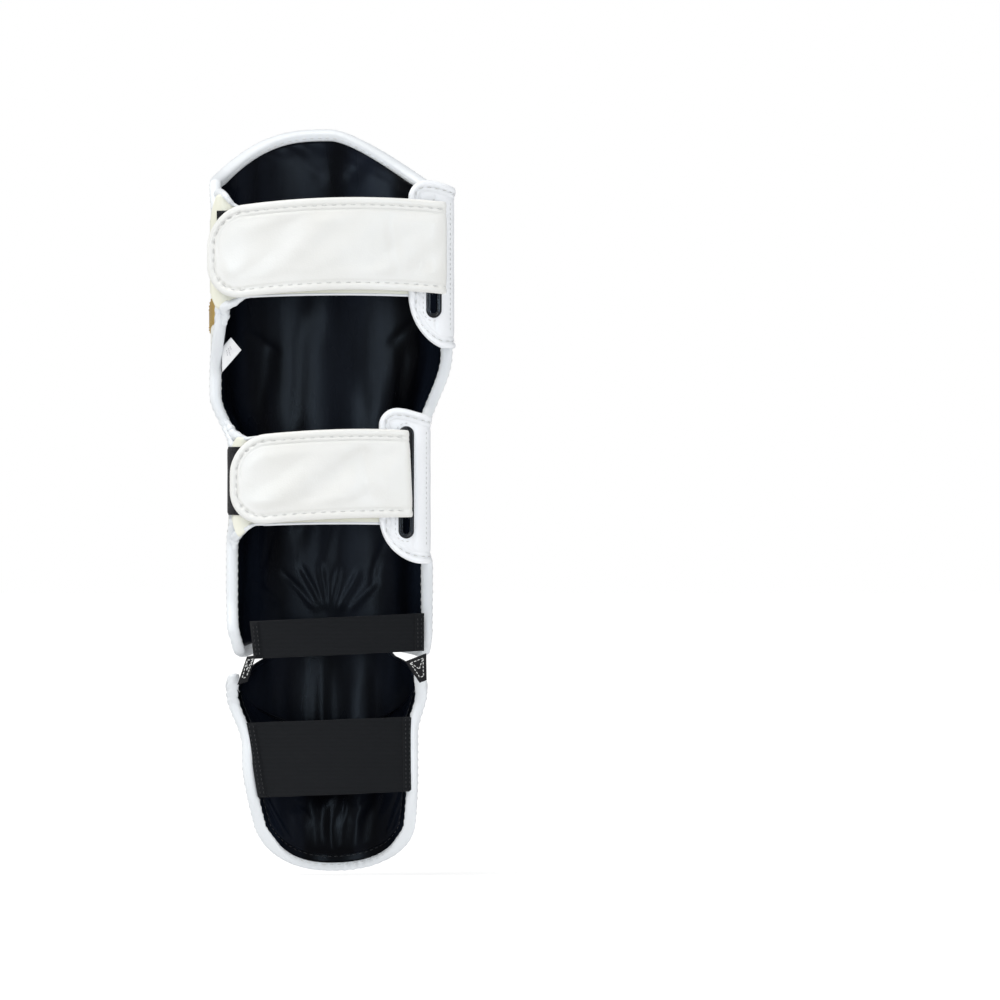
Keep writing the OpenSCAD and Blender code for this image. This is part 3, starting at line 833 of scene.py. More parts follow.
def make_binding(body, at, thick_of, pairs, closed, pucker):
    """A shell's bound edge with a row of stitches on each face.

    pairs are the binding's inner edge and tip on the shell, in order round it."""
    name = body + "_binding"
    tips = [at(*tip, thick_of(*tip) / 2) for inset, tip in pairs]
    run = lengths_along(tips)
    sections = []
    for (inset, tip), place, s in zip(pairs, tips, run):
        gather = pucker(place)
        ripple = gather * math.sin(2 * math.pi * s / 6.4)
        ripple += (0.25 + 0.5 * gather) * noise.noise(Vector((s / 11, 0.3, 0.7)))
        sections.append(bind_section(at, inset, tip, thick_of(*inset), ripple))
    piece = sweep(name, sections, closed, TRIM, body, "binding", replaces=(body + "_edge_binding",))
    piece.data.materials.append(LINING)
    for face in piece.data.polygons:
        x, y, z = face.center / MM
        face.material_index = int(behind_ear(x, y, z))

    def row(w, inner):
        line = []
        for inset, tip in pairs:
            thick = thick_of(*inset)
            u, v = mix(inset[0], tip[0], w), mix(inset[1], tip[1], w)
            line.append(at(u, v, thick + 0.78 if inner else -0.78))
        return line + line[:1] if closed else line

    inner_row = [p for p in row(0.26, True) if not behind_ear(*p)]
    for side, line, normal_of in (("inner", inner_row, inward), ("outer", row(0.26, False), outward)):
        stitches(f"{name}_{side}_stitches", [line], normal_of, *BIND_STITCH, WHITE_THREAD, body,
                 "binding")


def shin_pairs():
    return [(shin_uv(*place), place) for place in unit_border(180, 260)]


def step_pairs():
    """From the instep's upper left corner round the toe to its upper right corner."""
    nu, nv = 170, 90
    border = unit_border(nu, nv)
    return [(step_uv(*place), place) for place in border[-nv:] + border[:nu + nv] + [(1, 1)]]


def shin_pucker(place):
    """How much the shin's binding gathers: most where a strap pulls on it."""
    x, y, z = place
    if x < 0 and y < 10:
        return max(bell(z - 262, 14), bell(z - 104, 12), bell(z - 168, 12), 0.5 * bell(z - 18, 14))
    return 0.6 * bell(z - 12, 12) if y < 20 else 0.15


def step_pucker(place):
    """How much the instep's binding gathers: most at the toe and the upper corners."""
    x, y, z = place
    toe = bell(x - 22, 26) * (1 if z < -138 else 0)
    corner = bell(z + 20, 12) * (1 if x < 0 else 0.4)
    return max(toe, corner, 0.35 * bell(z + 125, 22))


# ---- Padded pieces on the front ----

def squircle(a, b, square):
    """Rounds a square grid's outline. square is 0 for a full square and 1 for a circle."""
    return (a * math.sqrt(1 - square * b * b / 2), b * math.sqrt(1 - square * a * a / 2))


def make_pad(name, at, box, height, body, node, size, sharp, channels=(), skew=0.0):
    """A crowned pad sewn on a shell, inflated as cloth and edged with piping and stitches.

    box is u0, u1, v0, v1 on the shell. channels are sewn lines across the pad, by height from
    -1 to 1. skew drops the middle of each channel, as a chevron does."""
    nu, nv = size
    u0, u1, v0, v1 = box

    def place(a, b, depth):
        x, y = squircle(a, b, sharp)
        y -= skew * (1 - abs(x)) * (1 - y * y)
        return at(mix(u0, u1, (x + 1) / 2), mix(v0, v1, (y + 1) / 2), depth)

    def crown_of(a, b):
        body_of = ((1 - a ** 4) * (1 - b ** 4)) ** 0.5
        pinch = max([bell(b - c, 0.07) for c in channels] or [0])
        return height * body_of * (1 - 0.6 * pinch)

    def top(s, t):
        a, b = 2 * s - 1, 2 * t - 1
        return place(a, b, -0.2 - crown_of(a, b))

    def low(s, t):
        return place(2 * s - 1, 2 * t - 1, 0.3)

    pad = slab(name, top, low, nu, nv, WHITE, body, "cover", replaces=(node,))
    side = (nu + 1) * (nv + 1)
    pinned = list(range(side, 2 * side)) + border_of(nu, nv)
    for i in range(nu + 1):
        for j in range(nv + 1):
            if any(abs(2 * j / nv - 1 - c) < 0.6 / nv for c in channels):
                pinned.append(i * (nv + 1) + j)
    simulated(pad, sorted(set(pinned)), 2.6, -0.05, 14, 3.0)
    refine(pad)
    ring = [(2 * s - 1, 2 * t - 1) for s, t in unit_border(48, 48)]
    cord_tube(name + "_piping", [place(a, b, -0.5) for a, b in ring], 1.25, True, TRIM, body, "binding")
    seam = [place(a * 1.045, b * 1.045, -0.15) for a, b in ring]
    stitches(name + "_seam", [seam + seam[:1]], outward, *PAD_STITCH, WHITE_THREAD, body, "cover")


def shin_box(i0, i1, j0, j1):
    """A box on the shin, by cells of 24 round it and 18 up it."""
    return sum(zip(shin_uv(i0 / 24, j0 / 18), shin_uv(i1 / 24, j1 / 18)), ())


def step_box(i0, i1, j0, j1):
    """A box on the instep, by cells of 16 round it and 10 up it."""
    return sum(zip(step_uv(i0 / 16, j0 / 10), step_uv(i1 / 16, j1 / 10)), ())


def make_front_pads():
    for name, low, high in (("upper", 11, 15.2), ("middle", 6, 10.6), ("lower", 1.2, 5.6)):
        make_pad(name + "_ridge_cushion", shin_at, shin_box(8, 16, low, high), 9.5, "shin",
                 name + "_ridge_pad", (36, 36), 0.3, (0.0,), 0.16)
    make_pad("knee_cushion", shin_at, shin_box(7, 17, 15.8, 17.9), 6, "shin", "knee_pad", (44, 22), 0.3)
    for name, start in (("left", 4), ("right", 17)):
        make_pad(name + "_side_cushion", shin_at, shin_box(start, start + 3, 2, 14), 5, "shin",
                 name + "_side_pad", (16, 72), 0.25, (-0.5, 0.0, 0.5))
    for name, low, high in (("upper", 6.9, 9.3), ("middle", 3.9, 6.3), ("toe", 1.0, 3.3)):
        make_pad(f"instep_{name}_cushion", step_at, step_box(4, 12, low, high), 5.5, "instep",
                 f"instep_{name}_pad", (36, 16), 0.3)


def make_gold_accents():
    """Slanting gold bands on both wings, high at the wing's edge and low toward the front."""
    for name, u_edge, u_front in (("left", 0.0, 0.17), ("right", 0.97, 0.79)):
        make_gold_band(name, u_edge, u_front)


def make_gold_band(name, u_edge, u_front):
    def spot(s, t, depth):
        v = mix(0.70, 0.655, ease(s * 1.1)) + mix(0.068, 0.034, s) * t
        return shin_at(*shin_uv(mix(u_edge, u_front, s), v), depth)

    def top(s, t):
        puff = ((1 - (2 * t - 1) ** 6) * (1 - (2 * s - 1) ** 12)) ** 0.5
        return spot(s, t, -0.25 - 0.9 * puff)

    slab(name + "_gold_band", top, lambda s, t: spot(s, t, 0.3), 36, 14, GOLD, "shin", "accent",
         replaces=("gold_accents",) if name == "left" else ())
    rows = [[spot(s / 60, t, -1.05) for s in range(61)] for t in (0.09, 0.91)]
    stitches(name + "_gold_seam", rows, outward, *GOLD_STITCH, GOLD, "shin", "accent")


# ---- Straps ----

# Each flap's middle line: x and z of its highest point, and its fall at 100 mm from there.
UPPER_ARCH = (20, 303.2, 7.9)
LOWER_ARCH = (35, 138.0, 6.0)

# The calf's arc in plan, and the straps' half height.
STRAP_R = 270.0
STRAP_CENTRE_Y = STRAP_R - 44.0
STRAP_HALF = 33.0
CORNER_LEFT = 14.0

# Inner and outer faces of what lies on the base strap, from the calf's arc.
LOOP_IN, LOOP_OUT = 1.25, 2.75
HOOK_IN, HOOK_OUT = 3.05, 4.55
EAR_IN, EAR_OUT = 1.55, 4.25
FLAP_MIDDLE = 6.05


def calf(x):
    """The calf's arc: its place in plan at x."""
    return (x, STRAP_CENTRE_Y - math.sqrt(STRAP_R ** 2 - x * x))


def corner_points(half, r, n=16):
    """The turn from the side of a wing onto the calf's arc, on the right."""
    cx = half - r
    cy = STRAP_CENTRE_Y - math.sqrt((STRAP_R - r) ** 2 - cx * cx)
    stop = math.atan2(cy - STRAP_CENTRE_Y, cx)
    return [(cx + r * math.cos(stop * k / n), cy + r * math.sin(stop * k / n)) for k in range(n + 1)]


class Ribbon:
    """A strap's course in plan. Its outward side lies to the right of its course."""

    def __init__(self, path, flipped=False):
        self.path = [Vector(p) for p in path]
        self.run = lengths_along(self.path)
        self.length = self.run[-1]
        self.side = -1 if flipped else 1

    def at(self, s, z, out):
        """The point at a length along the course, a height, and a distance outward."""
        s = max(0.0, min(self.length, s))
        k = min(bisect_right(self.run, s), len(self.run) - 1) - 1
        t = (s - self.run[k]) / max(1e-9, self.run[k + 1] - self.run[k])
        point = self.path[k].lerp(self.path[k + 1], t)
        side = self.normal(k).lerp(self.normal(k + 1), t).normalized()
        return (point.x + side.x * out, point.y + side.y * out, z)

    def normal(self, k):
        a, b = self.path[max(0, k - 1)], self.path[min(len(self.path) - 1, k + 1)]
        d = (b - a).normalized()
        return Vector((d.y, -d.x)) * self.side

    def reach_x(self, x):
        """The length along the course at which it first crosses x."""
        for k, (a, b) in enumerate(zip(self.path, self.path[1:])):
            if (a.x - x) * (b.x - x) <= 0 and a.x != b.x:
                return self.run[k] + (self.run[k + 1] - self.run[k]) * (x - a.x) / (b.x - a.x)
        return self.length


def arc_points(x0, x1, n):
    return [calf(mix(x0, x1, k / n)) for k in range(n + 1)]


def left_course(half, x1, y0):
    """From y0 on the left wing's side, round its corner, and across the calf to x1."""
    corner = [(-x, y) for x, y in corner_points(half, CORNER_LEFT)]
    return [(-half, y0), (-half, y0 - 6)] + corner + arc_points(corner[-1][0], x1, 40)[1:]


def right_course(half, r, x0):
    """From x0 on the calf, round the right wing's corner of radius r, to its side."""
    corner = corner_points(half, r)
    return arc_points(x0, corner[-1][0], 24)[:-1] + corner[::-1] + [(half, 4.0), (half, 12.0)]


def smooth_course(knots, per=8):
    """A Catmull-Rom curve through knots, with per steps between each two."""
    out = []
    for k in range(len(knots) - 1):
        p = [Vector(knots[max(0, min(len(knots) - 1, k + d))]) for d in (-1, 0, 1, 2)]
        for s in range(per):
            t = s / per
            bent = (2 * p[0] - 5 * p[1] + 4 * p[2] - p[3]) * t * t
            bent += (3 * p[1] - p[0] - 3 * p[2] + p[3]) * t ** 3
            out.append(0.5 * (2 * p[1] + (p[2] - p[0]) * t + bent))
    return out + [Vector(knots[-1])]


def off_calf(x, out):
    """The plan point that lies a distance outward of the calf arc's point at x."""
    px, py = calf(x)
    return (px + out * px / STRAP_R, py + out * (py - STRAP_CENTRE_Y) / STRAP_R)


# Each flap's fold about its slot: distance from the slot's middle, and distance outward.
TONGUE = [(-9.0, 0.0), (-5.0, 0.0), (-2.4, 0.3), (-0.6, 1.6), (0.1, 3.4), (0.3, 5.0)]
UPPER_FOLD = [(0.8, 4.3), (1.7, 5.6), (3.2, 6.2), (5.0, 6.2), (6.2, 6.8), (6.5, 7.7), (6.2, 8.6),
              (5.0, 9.2), (2.5, 9.2), (-1.5, 8.7), (-6, 7.9), (-12, 6.9), (-18, 6.25)]
LOWER_FOLD = [(-0.4, 4.4), (0.5, 5.3), (1.2, 6.1), (1.4, 7.0), (1.0, 7.9), (-0.2, 8.4), (-2.6, 8.4),
              (-6, 7.8), (-11, 6.9), (-17, 6.25)]


def crowded(n, power):
    """Shares from 0 to 1 that crowd toward both ends."""
    turns = [math.cos(math.pi * k / n) for k in range(n + 1)]
    return [0.5 - 0.5 * math.copysign(abs(turn) ** power, turn) for turn in turns]


FLAP_CORNER = 27.0
SEAM_IN = 5.4
CREASE_IN = 8.6


def rim_gap(a, t):
    """Distance inward from a flap's outline, a from its free end and t from its middle line."""
    r = FLAP_CORNER
    if a < r and abs(t) > STRAP_HALF - r:
        return r - math.hypot(r - a, abs(t) - (STRAP_HALF - r))
    return min(a, STRAP_HALF - abs(t))


def arch_z(arch, x):
    """Height of a flap's middle line."""
    peak_x, peak_z, fall = arch
    return peak_z - fall * ((x - peak_x) / 100) ** 2


def free_end(t):
    """Where a flap begins at a height, measured from its free end."""
    over = abs(t) - (STRAP_HALF - FLAP_CORNER)
    return FLAP_CORNER - math.sqrt(max(0.0, FLAP_CORNER ** 2 - over * over)) if over > 0 else 0.0


def flap_rise(d, t, near_end):
    """The flap's outer face: a rounded rim, a stitched band, and a faint crease round the panel."""
    edge = rounded(d, 2.0)
    crease_at, depth = (CREASE_IN, 0.9) if t > 0 else (CREASE_IN - 1.9, 0.4)
    rise = edge * 1.9 - 0.3 * bell(d - SEAM_IN, 0.7) + 0.2 * bell(d - 3.2, 1.4)
    return rise - depth * (1 - 0.7 * near_end) * bell(d - crease_at, 0.5) + 0.5 * ease((d - crease_at) / 9)


def make_flap(side, slot_x, arch, half, x_free, fold, slant, squeeze):
    """A strap's flap from its fold at the slot to its rounded free end, on the outer layer.

    arch is its middle line's highest x and z and its fall in 100 mm. slant leans the fold, and
    squeeze narrows the flap at the slot."""
    knots = [off_calf(slot_x + x, out) for x, out in fold]
    knots += [off_calf(x, FLAP_MIDDLE) for x in (slot_x - 24 - k * 6 for k in range(40)) if x > x_free]
    course = Ribbon(smooth_course(knots + [off_calf(x_free, FLAP_MIDDLE)]), flipped=True)
    total, root_z = course.length, arch[1]
    ns, nt = 170, 80
    rows = crowded(nt, 0.75)
    steps = crowded(ns, 0.85)

    def seat(a, t, out):
        """A place by its length from the free end, height from the middle line, and depth."""
        root = math.exp(-(total - a) / 22)
        x, y, z = course.at(total - a, t * (1 - squeeze * root) * half / STRAP_HALF, out)
        return (x - slant * t / STRAP_HALF * root, y, z + arch_z(arch, x))

    def where(s, q):
        t = mix(-STRAP_HALF, STRAP_HALF, rows[round(q * nt)])
        begin = free_end(t)
        return begin + (total - begin) * steps[round(s * ns)], t

    def top(s, q):
        a, t = where(s, q)
        d = rim_gap(a, t)
        tight = ease((total - a - 6) / 14)
        near_end = ease((34 - a) / 16)
        x, y, z = seat(a, t, 0)
        soft = ease((d - CREASE_IN) / 9)
        slope = (z - root_z) - 0.75 * (x + 8)
        wrinkle = 2.2 * noise.noise(Vector((slope / 21, (x + z * 0.5) / 70, 3.1)))
        wrinkle += 0.22 * rough_at(x, y, z, 10) - 0.8 * bell(x - slot_x + 28 + 0.15 * t, 5)
        pit = (0.22 + 0.6 * near_end) * bell(d - SEAM_IN + 0.5 * near_end * math.sin(a + t), 1.1)
        pit *= 0.5 + 0.5 * math.cos(2 * math.pi * (a + abs(t) * near_end) / 7.0)
        rise = flap_rise(d, t, near_end) * mix(0.55, 1, tight)
        return seat(a, t, 0.1 + rise + soft * wrinkle * tight - pit)

    def low(s, q):
        a, t = where(s, q)
        edge = rounded(rim_gap(a, t), 1.2)
        return seat(a, t, -1.2 * edge)

    flap = slab(side + "_flap_leather", top, low, ns, nt, FLAP_PAINTED_SHADE, None, "strap",
                replaces=(side + "_flap_panel", side + "_flap_binding"))
    threads = stitches(side + "_flap_stitches", [[seat(a, t, 1.6) for a, t in flap_seam(total)]],
                       calf_facing(1 / 400), *FLAP_STITCH, PALE_THREAD, None, "strap")
    root_x, root_y = off_calf(slot_x - 3.2, FLAP_MIDDLE)
    start, end = ((x * MM, root_y * MM, root_z * MM) for x in (root_x + 9.5, root_x - 8))
    for piece in (flap, threads):
        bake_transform(piece)
        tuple(start)
        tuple(end)
    make_tongue(side, slot_x, arch)
    make_hook_tape(side, slot_x, arch, x_free)


def flap_seam(total):
    """The stitch line round a flap: lengths from its free end, and heights from its middle line."""
    inset, r = STRAP_HALF - SEAM_IN, FLAP_CORNER - SEAM_IN
    shoulder = STRAP_HALF - FLAP_CORNER
    straight = [total - k * 2.0 for k in range(4, int((total - FLAP_CORNER) / 2))]
    quarter = [math.pi / 2 * k / 14 for k in range(15)]
    seam = [(a, -inset) for a in straight]
    seam += [(FLAP_CORNER - r * math.sin(q), -shoulder - r * math.cos(q)) for q in quarter]
    seam += [(FLAP_CORNER - r * math.cos(q), shoulder + r * math.sin(q)) for q in quarter]
    return seam + [(a, inset) for a in reversed(straight)]


def make_tongue(side, slot_x, arch):
    """The part of the strap that comes out through the slot, under the flap's fold."""
    course = Ribbon(smooth_course([off_calf(slot_x + x, out) for x, out in TONGUE], 4))
    tape(side + "_strap_tongue", course, arch_z(arch, slot_x), -1.1, 1.1, STRAP_HALF - 2, FLAP_PAINTED_SHADE, "shin",
         "strap", ())


def make_hook_tape(side, slot_x, arch, x_free):
    """The hook tape inside a flap's free end."""
    course = Ribbon(arc_points(x_free + 18, slot_x - 50, 40))
    tape(side + "_hook_tape", course, arch_z(arch, -15), HOOK_IN, HOOK_OUT + 0.2, 25, HOOK,
         side + "_flap", "hook_tape", (side + "_hook_patch",))


def tape(name, course, z_mid, inner, outer, half, material, body, slot, replaces):
    """A flat strip with softened edges along a ribbon, from its inner to its outer face."""
    ns, nt = max(24, int(course.length / 2.5)), 24

    def face(out, toward):
        def spot(s, q):
            a, t = s * course.length, mix(-half, half, q)
            near = min(a, course.length - a, half - abs(t))
            edge = rounded(near, 0.8)
            x, y, z = course.at(a, z_mid + t, out)
            depth = (1 - edge) * (outer - inner) * 0.5 - 0.12 * rough_at(x, y, z, 12)
            return course.at(a, z_mid + t, out - toward * depth)
        return spot

    return slab(name, face(outer, 1), face(inner, -1), ns, nt, material, body, slot, replaces=replaces)


def wing_edge(z):
    """The middle of the left wing's bound rear edge at a height."""
    low, high = shin_z(0, 0), shin_z(0, 1)
    return shin_at(0, (z - low) / (high - low), EDGE_THICK / 2)


def make_base_strap(side, half, slot_x, arch, low_z, flare, flare_x, side_y, loop_start, side_z):
    """The strap from the left wing's side round the corner and across the calf to its slot."""
    course = Ribbon(left_course(half, slot_x - 4.5, side_y))
    ns, nt = 150, 44
    rows = crowded(nt, 0.8)
    bend = course.reach_x(-half + CORNER_LEFT)

    def edges(s):
        """The strap widens where it grows out of the wing, and narrows again on the wing's side."""
        x = course.at(s, 0, 0)[0]
        inner = ease((s - bend + 17) / 9)
        low = low_z - 3.6 * ((x - 8) / 100) ** 2 - flare[0] * ease((flare_x[0] - x) / 12) * inner
        high = arch_z(arch, x) + 31.6 + flare[1] * ease((flare_x[1] - x) / 11) * inner
        return low + 4 * (1 - inner), high - 4 * (1 - inner)

    def rim(s, j):
        low, high = edges(s)
        return min(rows[j], 1 - rows[j]) * (high - low)

    def sink(s):
        """The strap's side end lies down flush with the wing's cover."""
        return -1.6 * ease((bend - 12 - s) / 8)

    def face(s, j, out):
        low, high = edges(s)
        return course.at(s, mix(low, high, rows[j]), out + sink(s))

    def top(p, q):
        s, j = p * course.length, round(q * nt)
        d = rim(s, j)
        edge = rounded(d, 1.8)
        ripple = 0.45 * bell(s - bend - 2, 9) * bell(d - 3, 6) * math.sin(2 * math.pi * s / 5.0)
        return face(s, j, -0.6 + 1.9 * edge + ripple)

    def low(p, q):
        s, j = p * course.length, round(q * nt)
        return face(s, j, -0.6 - 0.65 * rounded(rim(s, j), 1.8))

    slab(side + "_base_strap", top, low, ns, nt, WARM_SHADE_LEATHER, "shin", "strap",
         replaces=(side + "_strap_base",))
    for k, (name, sign) in enumerate((("lower", -1), ("upper", 1))):
        make_root_roll(f"{side}_strap_{name}_roll", course, bend, lambda s: edges(s)[k], sign)
    if side == "upper":
        make_upper_side_loop()
    loop_end = 0.78 * course.length
    loop = Ribbon([course.at(mix(loop_start, loop_end, k / 80), 0, 0)[:2] for k in range(81)])
    tape(side + "_loop_tape", loop, side_z, LOOP_IN - 0.1, LOOP_OUT, 24.5, LOOP, "shin", "loop_tape",
         (side + "_loop_patch",) if side == "upper" else (side + "_loop_patch", side + "_side_loop"))


def make_upper_side_loop():
    """The loop tape on the left wing's side that the upper strap's own tape runs on from."""
    def face(lift):
        return lambda p, q: shin_at(*shin_uv(mix(0.14, 0.22, p), mix(0.775, 0.915, q)), -lift)

    slab("upper_side_loop_tape", face(1.1), face(-0.2), 16, 30, LOOP, "shin", "loop_tape",
         replaces=("upper_side_loop",))


def make_root_roll(name, course, bend, edge_z, sign):
    """A soft bound roll that leaves the wing's edge and thins out along the strap's edge."""
    def at_edge(s, drop):
        return course.at(s, edge_z(s) - sign * drop, 0.1)

    root = edge_z(bend - 5)
    room = 12 if sign < 0 or root < 300 else 4
    knots = [wing_edge(root + sign * room * d) for d in (1, 0.55, 0.2)]
    knots += [at_edge(bend - 3, 1.2), at_edge(bend + 4, 1.2)]
    knots += [at_edge(bend + 12 + (course.length - bend - 14) * k / 14, 0.8) for k in range(15)]
    points = smooth_course(knots)[:-1]
    run = lengths_along(points)
    sections, sides = [], 14
    for k, p in enumerate(points):
        d = (points[min(k + 1, len(points) - 1)] - points[max(k - 1, 0)]).normalized()
        out = Vector((p.x, p.y - 20, 0)).normalized()
        side = d.cross(out).normalized()
        out = side.cross(d)
        thin = ease((run[k] - 14) / 34)
        gather = (1 - thin) * 0.28 * math.sin(2 * math.pi * run[k] / 5.2)
        grow = mix(0.45, 1, ease((run[k] + 1) / 9))
        wide, deep = grow * mix(3.6, 1.15, thin) + gather, grow * mix(3.3, 1.5, thin) + gather
        sections.append([tuple(p + side * (wide * math.cos(2 * math.pi * c / sides))
                               + out * (deep * math.sin(2 * math.pi * c / sides))) for c in range(sides)])
    sweep(name, sections, False, TRIM, "shin", "binding")


# ---- Slot ears and rings ----

RING_WIDE = 11.4
RING_RIM = 3.3
EAR_TRIM = 8.2


def racetrack(width, height, n=14):
    """Points round a slot's outline, from its middle."""
    r, straight = width / 2, (height - width) / 2
    top = [(r * math.cos(math.pi * k / n), straight + r * math.sin(math.pi * k / n)) for k in range(n + 1)]
    sides = 16
    left = [(-r, mix(straight, -straight, k / sides)) for k in range(1, sides)]
    low = [(-x, -z) for x, z in top]
    right = [(r, mix(-straight, straight, k / sides)) for k in range(1, sides)]
    return top + left + low + right


def ear_edges(z_low, z_high, drop, curve, reach):
    """Bottom and top edges of an ear along its course, rounded at its free corners."""
    def low_edge(s):
        q = min(1.0, max(0.0, s / reach))
        return z_low + drop * (1 - math.sqrt(q)) ** curve

    def high_edge(s):
        r = 13.0
        corner = r - math.sqrt(max(0.0, r * r - (r - s) ** 2)) if s < r else 0.0
        return z_high - corner - 6 * ease((s - r) / 30)

    return low_edge, high_edge


def make_ear(side, half, r, x_in, z_low, z_high, slot_x, slot_z, slot_high, edges):
    """A flat ear with a bound edge, from the wing's side round to the strap, with its slot.

    half and r are the wing's half width and corner radius, and x_in is the ear's free end."""
    course = Ribbon(right_course(half - EAR_IN, r, x_in))
    low_edge, high_edge = ear_edges(*edges)
    ns, nt = 90, 110
    steps = [1 - math.cos(math.pi / 2 * k / ns) for k in range(ns + 1)]
    rows = crowded(nt, 0.8)
    turn_x = half - r - 2

    def seat(i, j):
        s = course.length * steps[i]
        return s, mix(low_edge(s), high_edge(s), rows[j])

    def spot(i, j, out):
        s, z = seat(i, j)
        return course.at(s, z, out)

    def gap_to_rim(i, j):
        s, z = seat(i, j)
        slope_low = (low_edge(s + 0.5) - low_edge(s)) / 0.5
        slope_high = (high_edge(s + 0.5) - high_edge(s)) / 0.5
        return min(s, (z - low_edge(s)) / math.hypot(1, slope_low),
                   (high_edge(s) - z) / math.hypot(1, slope_high))

    def top(p, q):
        i, j = round(p * ns), round(q * nt)
        d = gap_to_rim(i, j)
        x, y, z = spot(i, j, 0)
        within = ease((d - 8) / 4)
        roll = math.sqrt(max(0.0, 1 - (min(d, 4.6) / 2.3 - 1) ** 2)) if d < 4.6 else 0.0
        rise = mix(1.0, 2.3, roll) * min(1, d / 0.9) ** 0.5 - 0.45 * bell(d - 4.7, 0.5)
        rise += 0.35 * bell(d - 6.6, 1.3) - 0.5 * bell(d - EAR_TRIM, 0.5) + 0.25 * within
        rise -= 0.55 * within * bell(x - turn_x, 0.7)
        gather = bell(z - low_edge(0) + 8, 14) * 0.35 * math.sin(z + x)
        rise += 0.22 * rough_at(x, y, z, 16) + gather * (1 - within)
        return spot(i, j, EAR_IN + 0.75 + rise)

    def low(p, q):
        i, j = round(p * ns), round(q * nt)
        edge = rounded(gap_to_rim(i, j), 1.6)
        return spot(i, j, EAR_IN + 0.75 - 0.75 * edge)

    ear = slab(side + "_ear_leather", top, low, ns, nt, EAR_PAINTED_LIGHT, "shin", "cover",
               replaces=(side + "_slot_ear",))
    middle = course.reach_x(slot_x)

    def round_slot(x, z, out):
        return course.at(middle + x, slot_z + z, out)

    cut_slot(ear, round_slot, racetrack(RING_WIDE, slot_high))
    line = [ear_inset(k / 120, course, low_edge, high_edge, 5.2) for k in range(121)]
    stitches(side + "_ear_stitches", [line], calf_facing(1 / 300), *EAR_STITCH, PALE_THREAD, "shin", "cover")
    side_s = course.reach_x(half - 3.6)
    side_row = [course.at(side_s, mix(z_low + 12, z_high - 16, k / 60), EAR_OUT - 0.45) for k in range(61)]
    stitch_slot(side, round_slot, slot_z, slot_high, side_row)
    make_ring(side, round_slot, RING_WIDE, slot_high)


def stitch_slot(side, round_slot, slot_z, slot_high, side_row):
    """Stitches round a slot's two ends, and one row down the ear's side."""
    ring = racetrack(RING_WIDE + 4.2, slot_high + 4.2)
    around = [round_slot(x, z, EAR_OUT - 0.7) for x, z in ring if x < 2]
    top_part = [p for p in around if p[2] > slot_z + slot_high / 2 - 8]
    low_part = [p for p in around if p[2] < slot_z - slot_high / 2 + 26]
    stitches(side + "_slot_stitches", [top_part, low_part, side_row], calf_facing(1 / 60), *SLOT_STITCH,
             PALE_THREAD, "shin", "cover")


def cut_slot(ear, round_slot, outline):
    """Cuts an ear's slot, a little smaller than the ring's outline."""
    sections = [[tuple(c * MM for c in round_slot(x * 0.93, z * 0.985, out)) for x, z in outline]
                for out in (-4, 12)]
    m = len(outline)
    faces = [tuple(range(m)), tuple(range(2 * m - 1, m - 1, -1))]
    faces += [(k, m + k, m + (k + 1) % m, (k + 1) % m) for k in range(m)]
    mesh = bpy.data.meshes.new("slot_cutter")
    mesh.from_pydata(sections[0] + sections[1], [], faces)
    fix_normals(mesh)
    cutter = new_object("slot_cutter", mesh)
    boolean = ear.modifiers.new("cut", "BOOLEAN")
    boolean.object, boolean.operation, boolean.solver = cutter, "DIFFERENCE", "EXACT"
    keep_modified(ear)
    bpy.data.objects.remove(cutter)


def ear_inset(t, course, low_edge, high_edge, inset):
    """A point on the ear's seam, from its lower outer end round the free edge to its upper one."""
    stop = course.length - 8
    if t < 0.4:
        s = mix(stop, inset, t / 0.4)
        z = low_edge(s) + inset
    elif t < 0.6:
        s = inset
        z = mix(low_edge(s) + inset, high_edge(s) - inset, (t - 0.4) / 0.2)
    else:
        s = mix(inset, stop, (t - 0.6) / 0.4)
        z = high_edge(s) - inset
    return course.at(s, z, EAR_OUT - 0.05)


# Section of a slot ring's rim: share of the rim's width from outside, and distance outward.
RING_SECTION = [(0.0, 0.9), (0.0, 2.2), (0.08, 2.8), (0.24, 3.3), (0.42, 3.45), (0.58, 3.25), (0.68, 2.75),
                (0.74, 2.7), (0.84, 2.95), (0.94, 2.8), (1.0, 2.4), (1.0, 0.9), (0.85, 0.35), (0.15, 0.35)]


def make_ring(side, round_slot, width, height):
    """The moulded ring that lines a slot."""
    outer = racetrack(width, height)
    inner = racetrack(width - 2 * RING_RIM, height - 2 * RING_RIM)
    sections = [[round_slot(mix(x0, x1, w), mix(z0, z1, w), 1.2 + out) for w, out in RING_SECTION]
                for (x0, z0), (x1, z1) in zip(outer, inner)]
    sweep(side + "_slot_eyelet", sections, True, RUBBER, "shin", "slot_ring",
          replaces=(side + "_slot_ring",))


# ---- Elastics ----

def bow(p, q, bulge, n=40):
    """A shallow curve in plan from p to q that bulges toward the calf side."""
    return [(mix(p[0], q[0], k / n), mix(p[1], q[1], k / n) - bulge * math.sin(math.pi * k / n))
            for k in range(n + 1)]


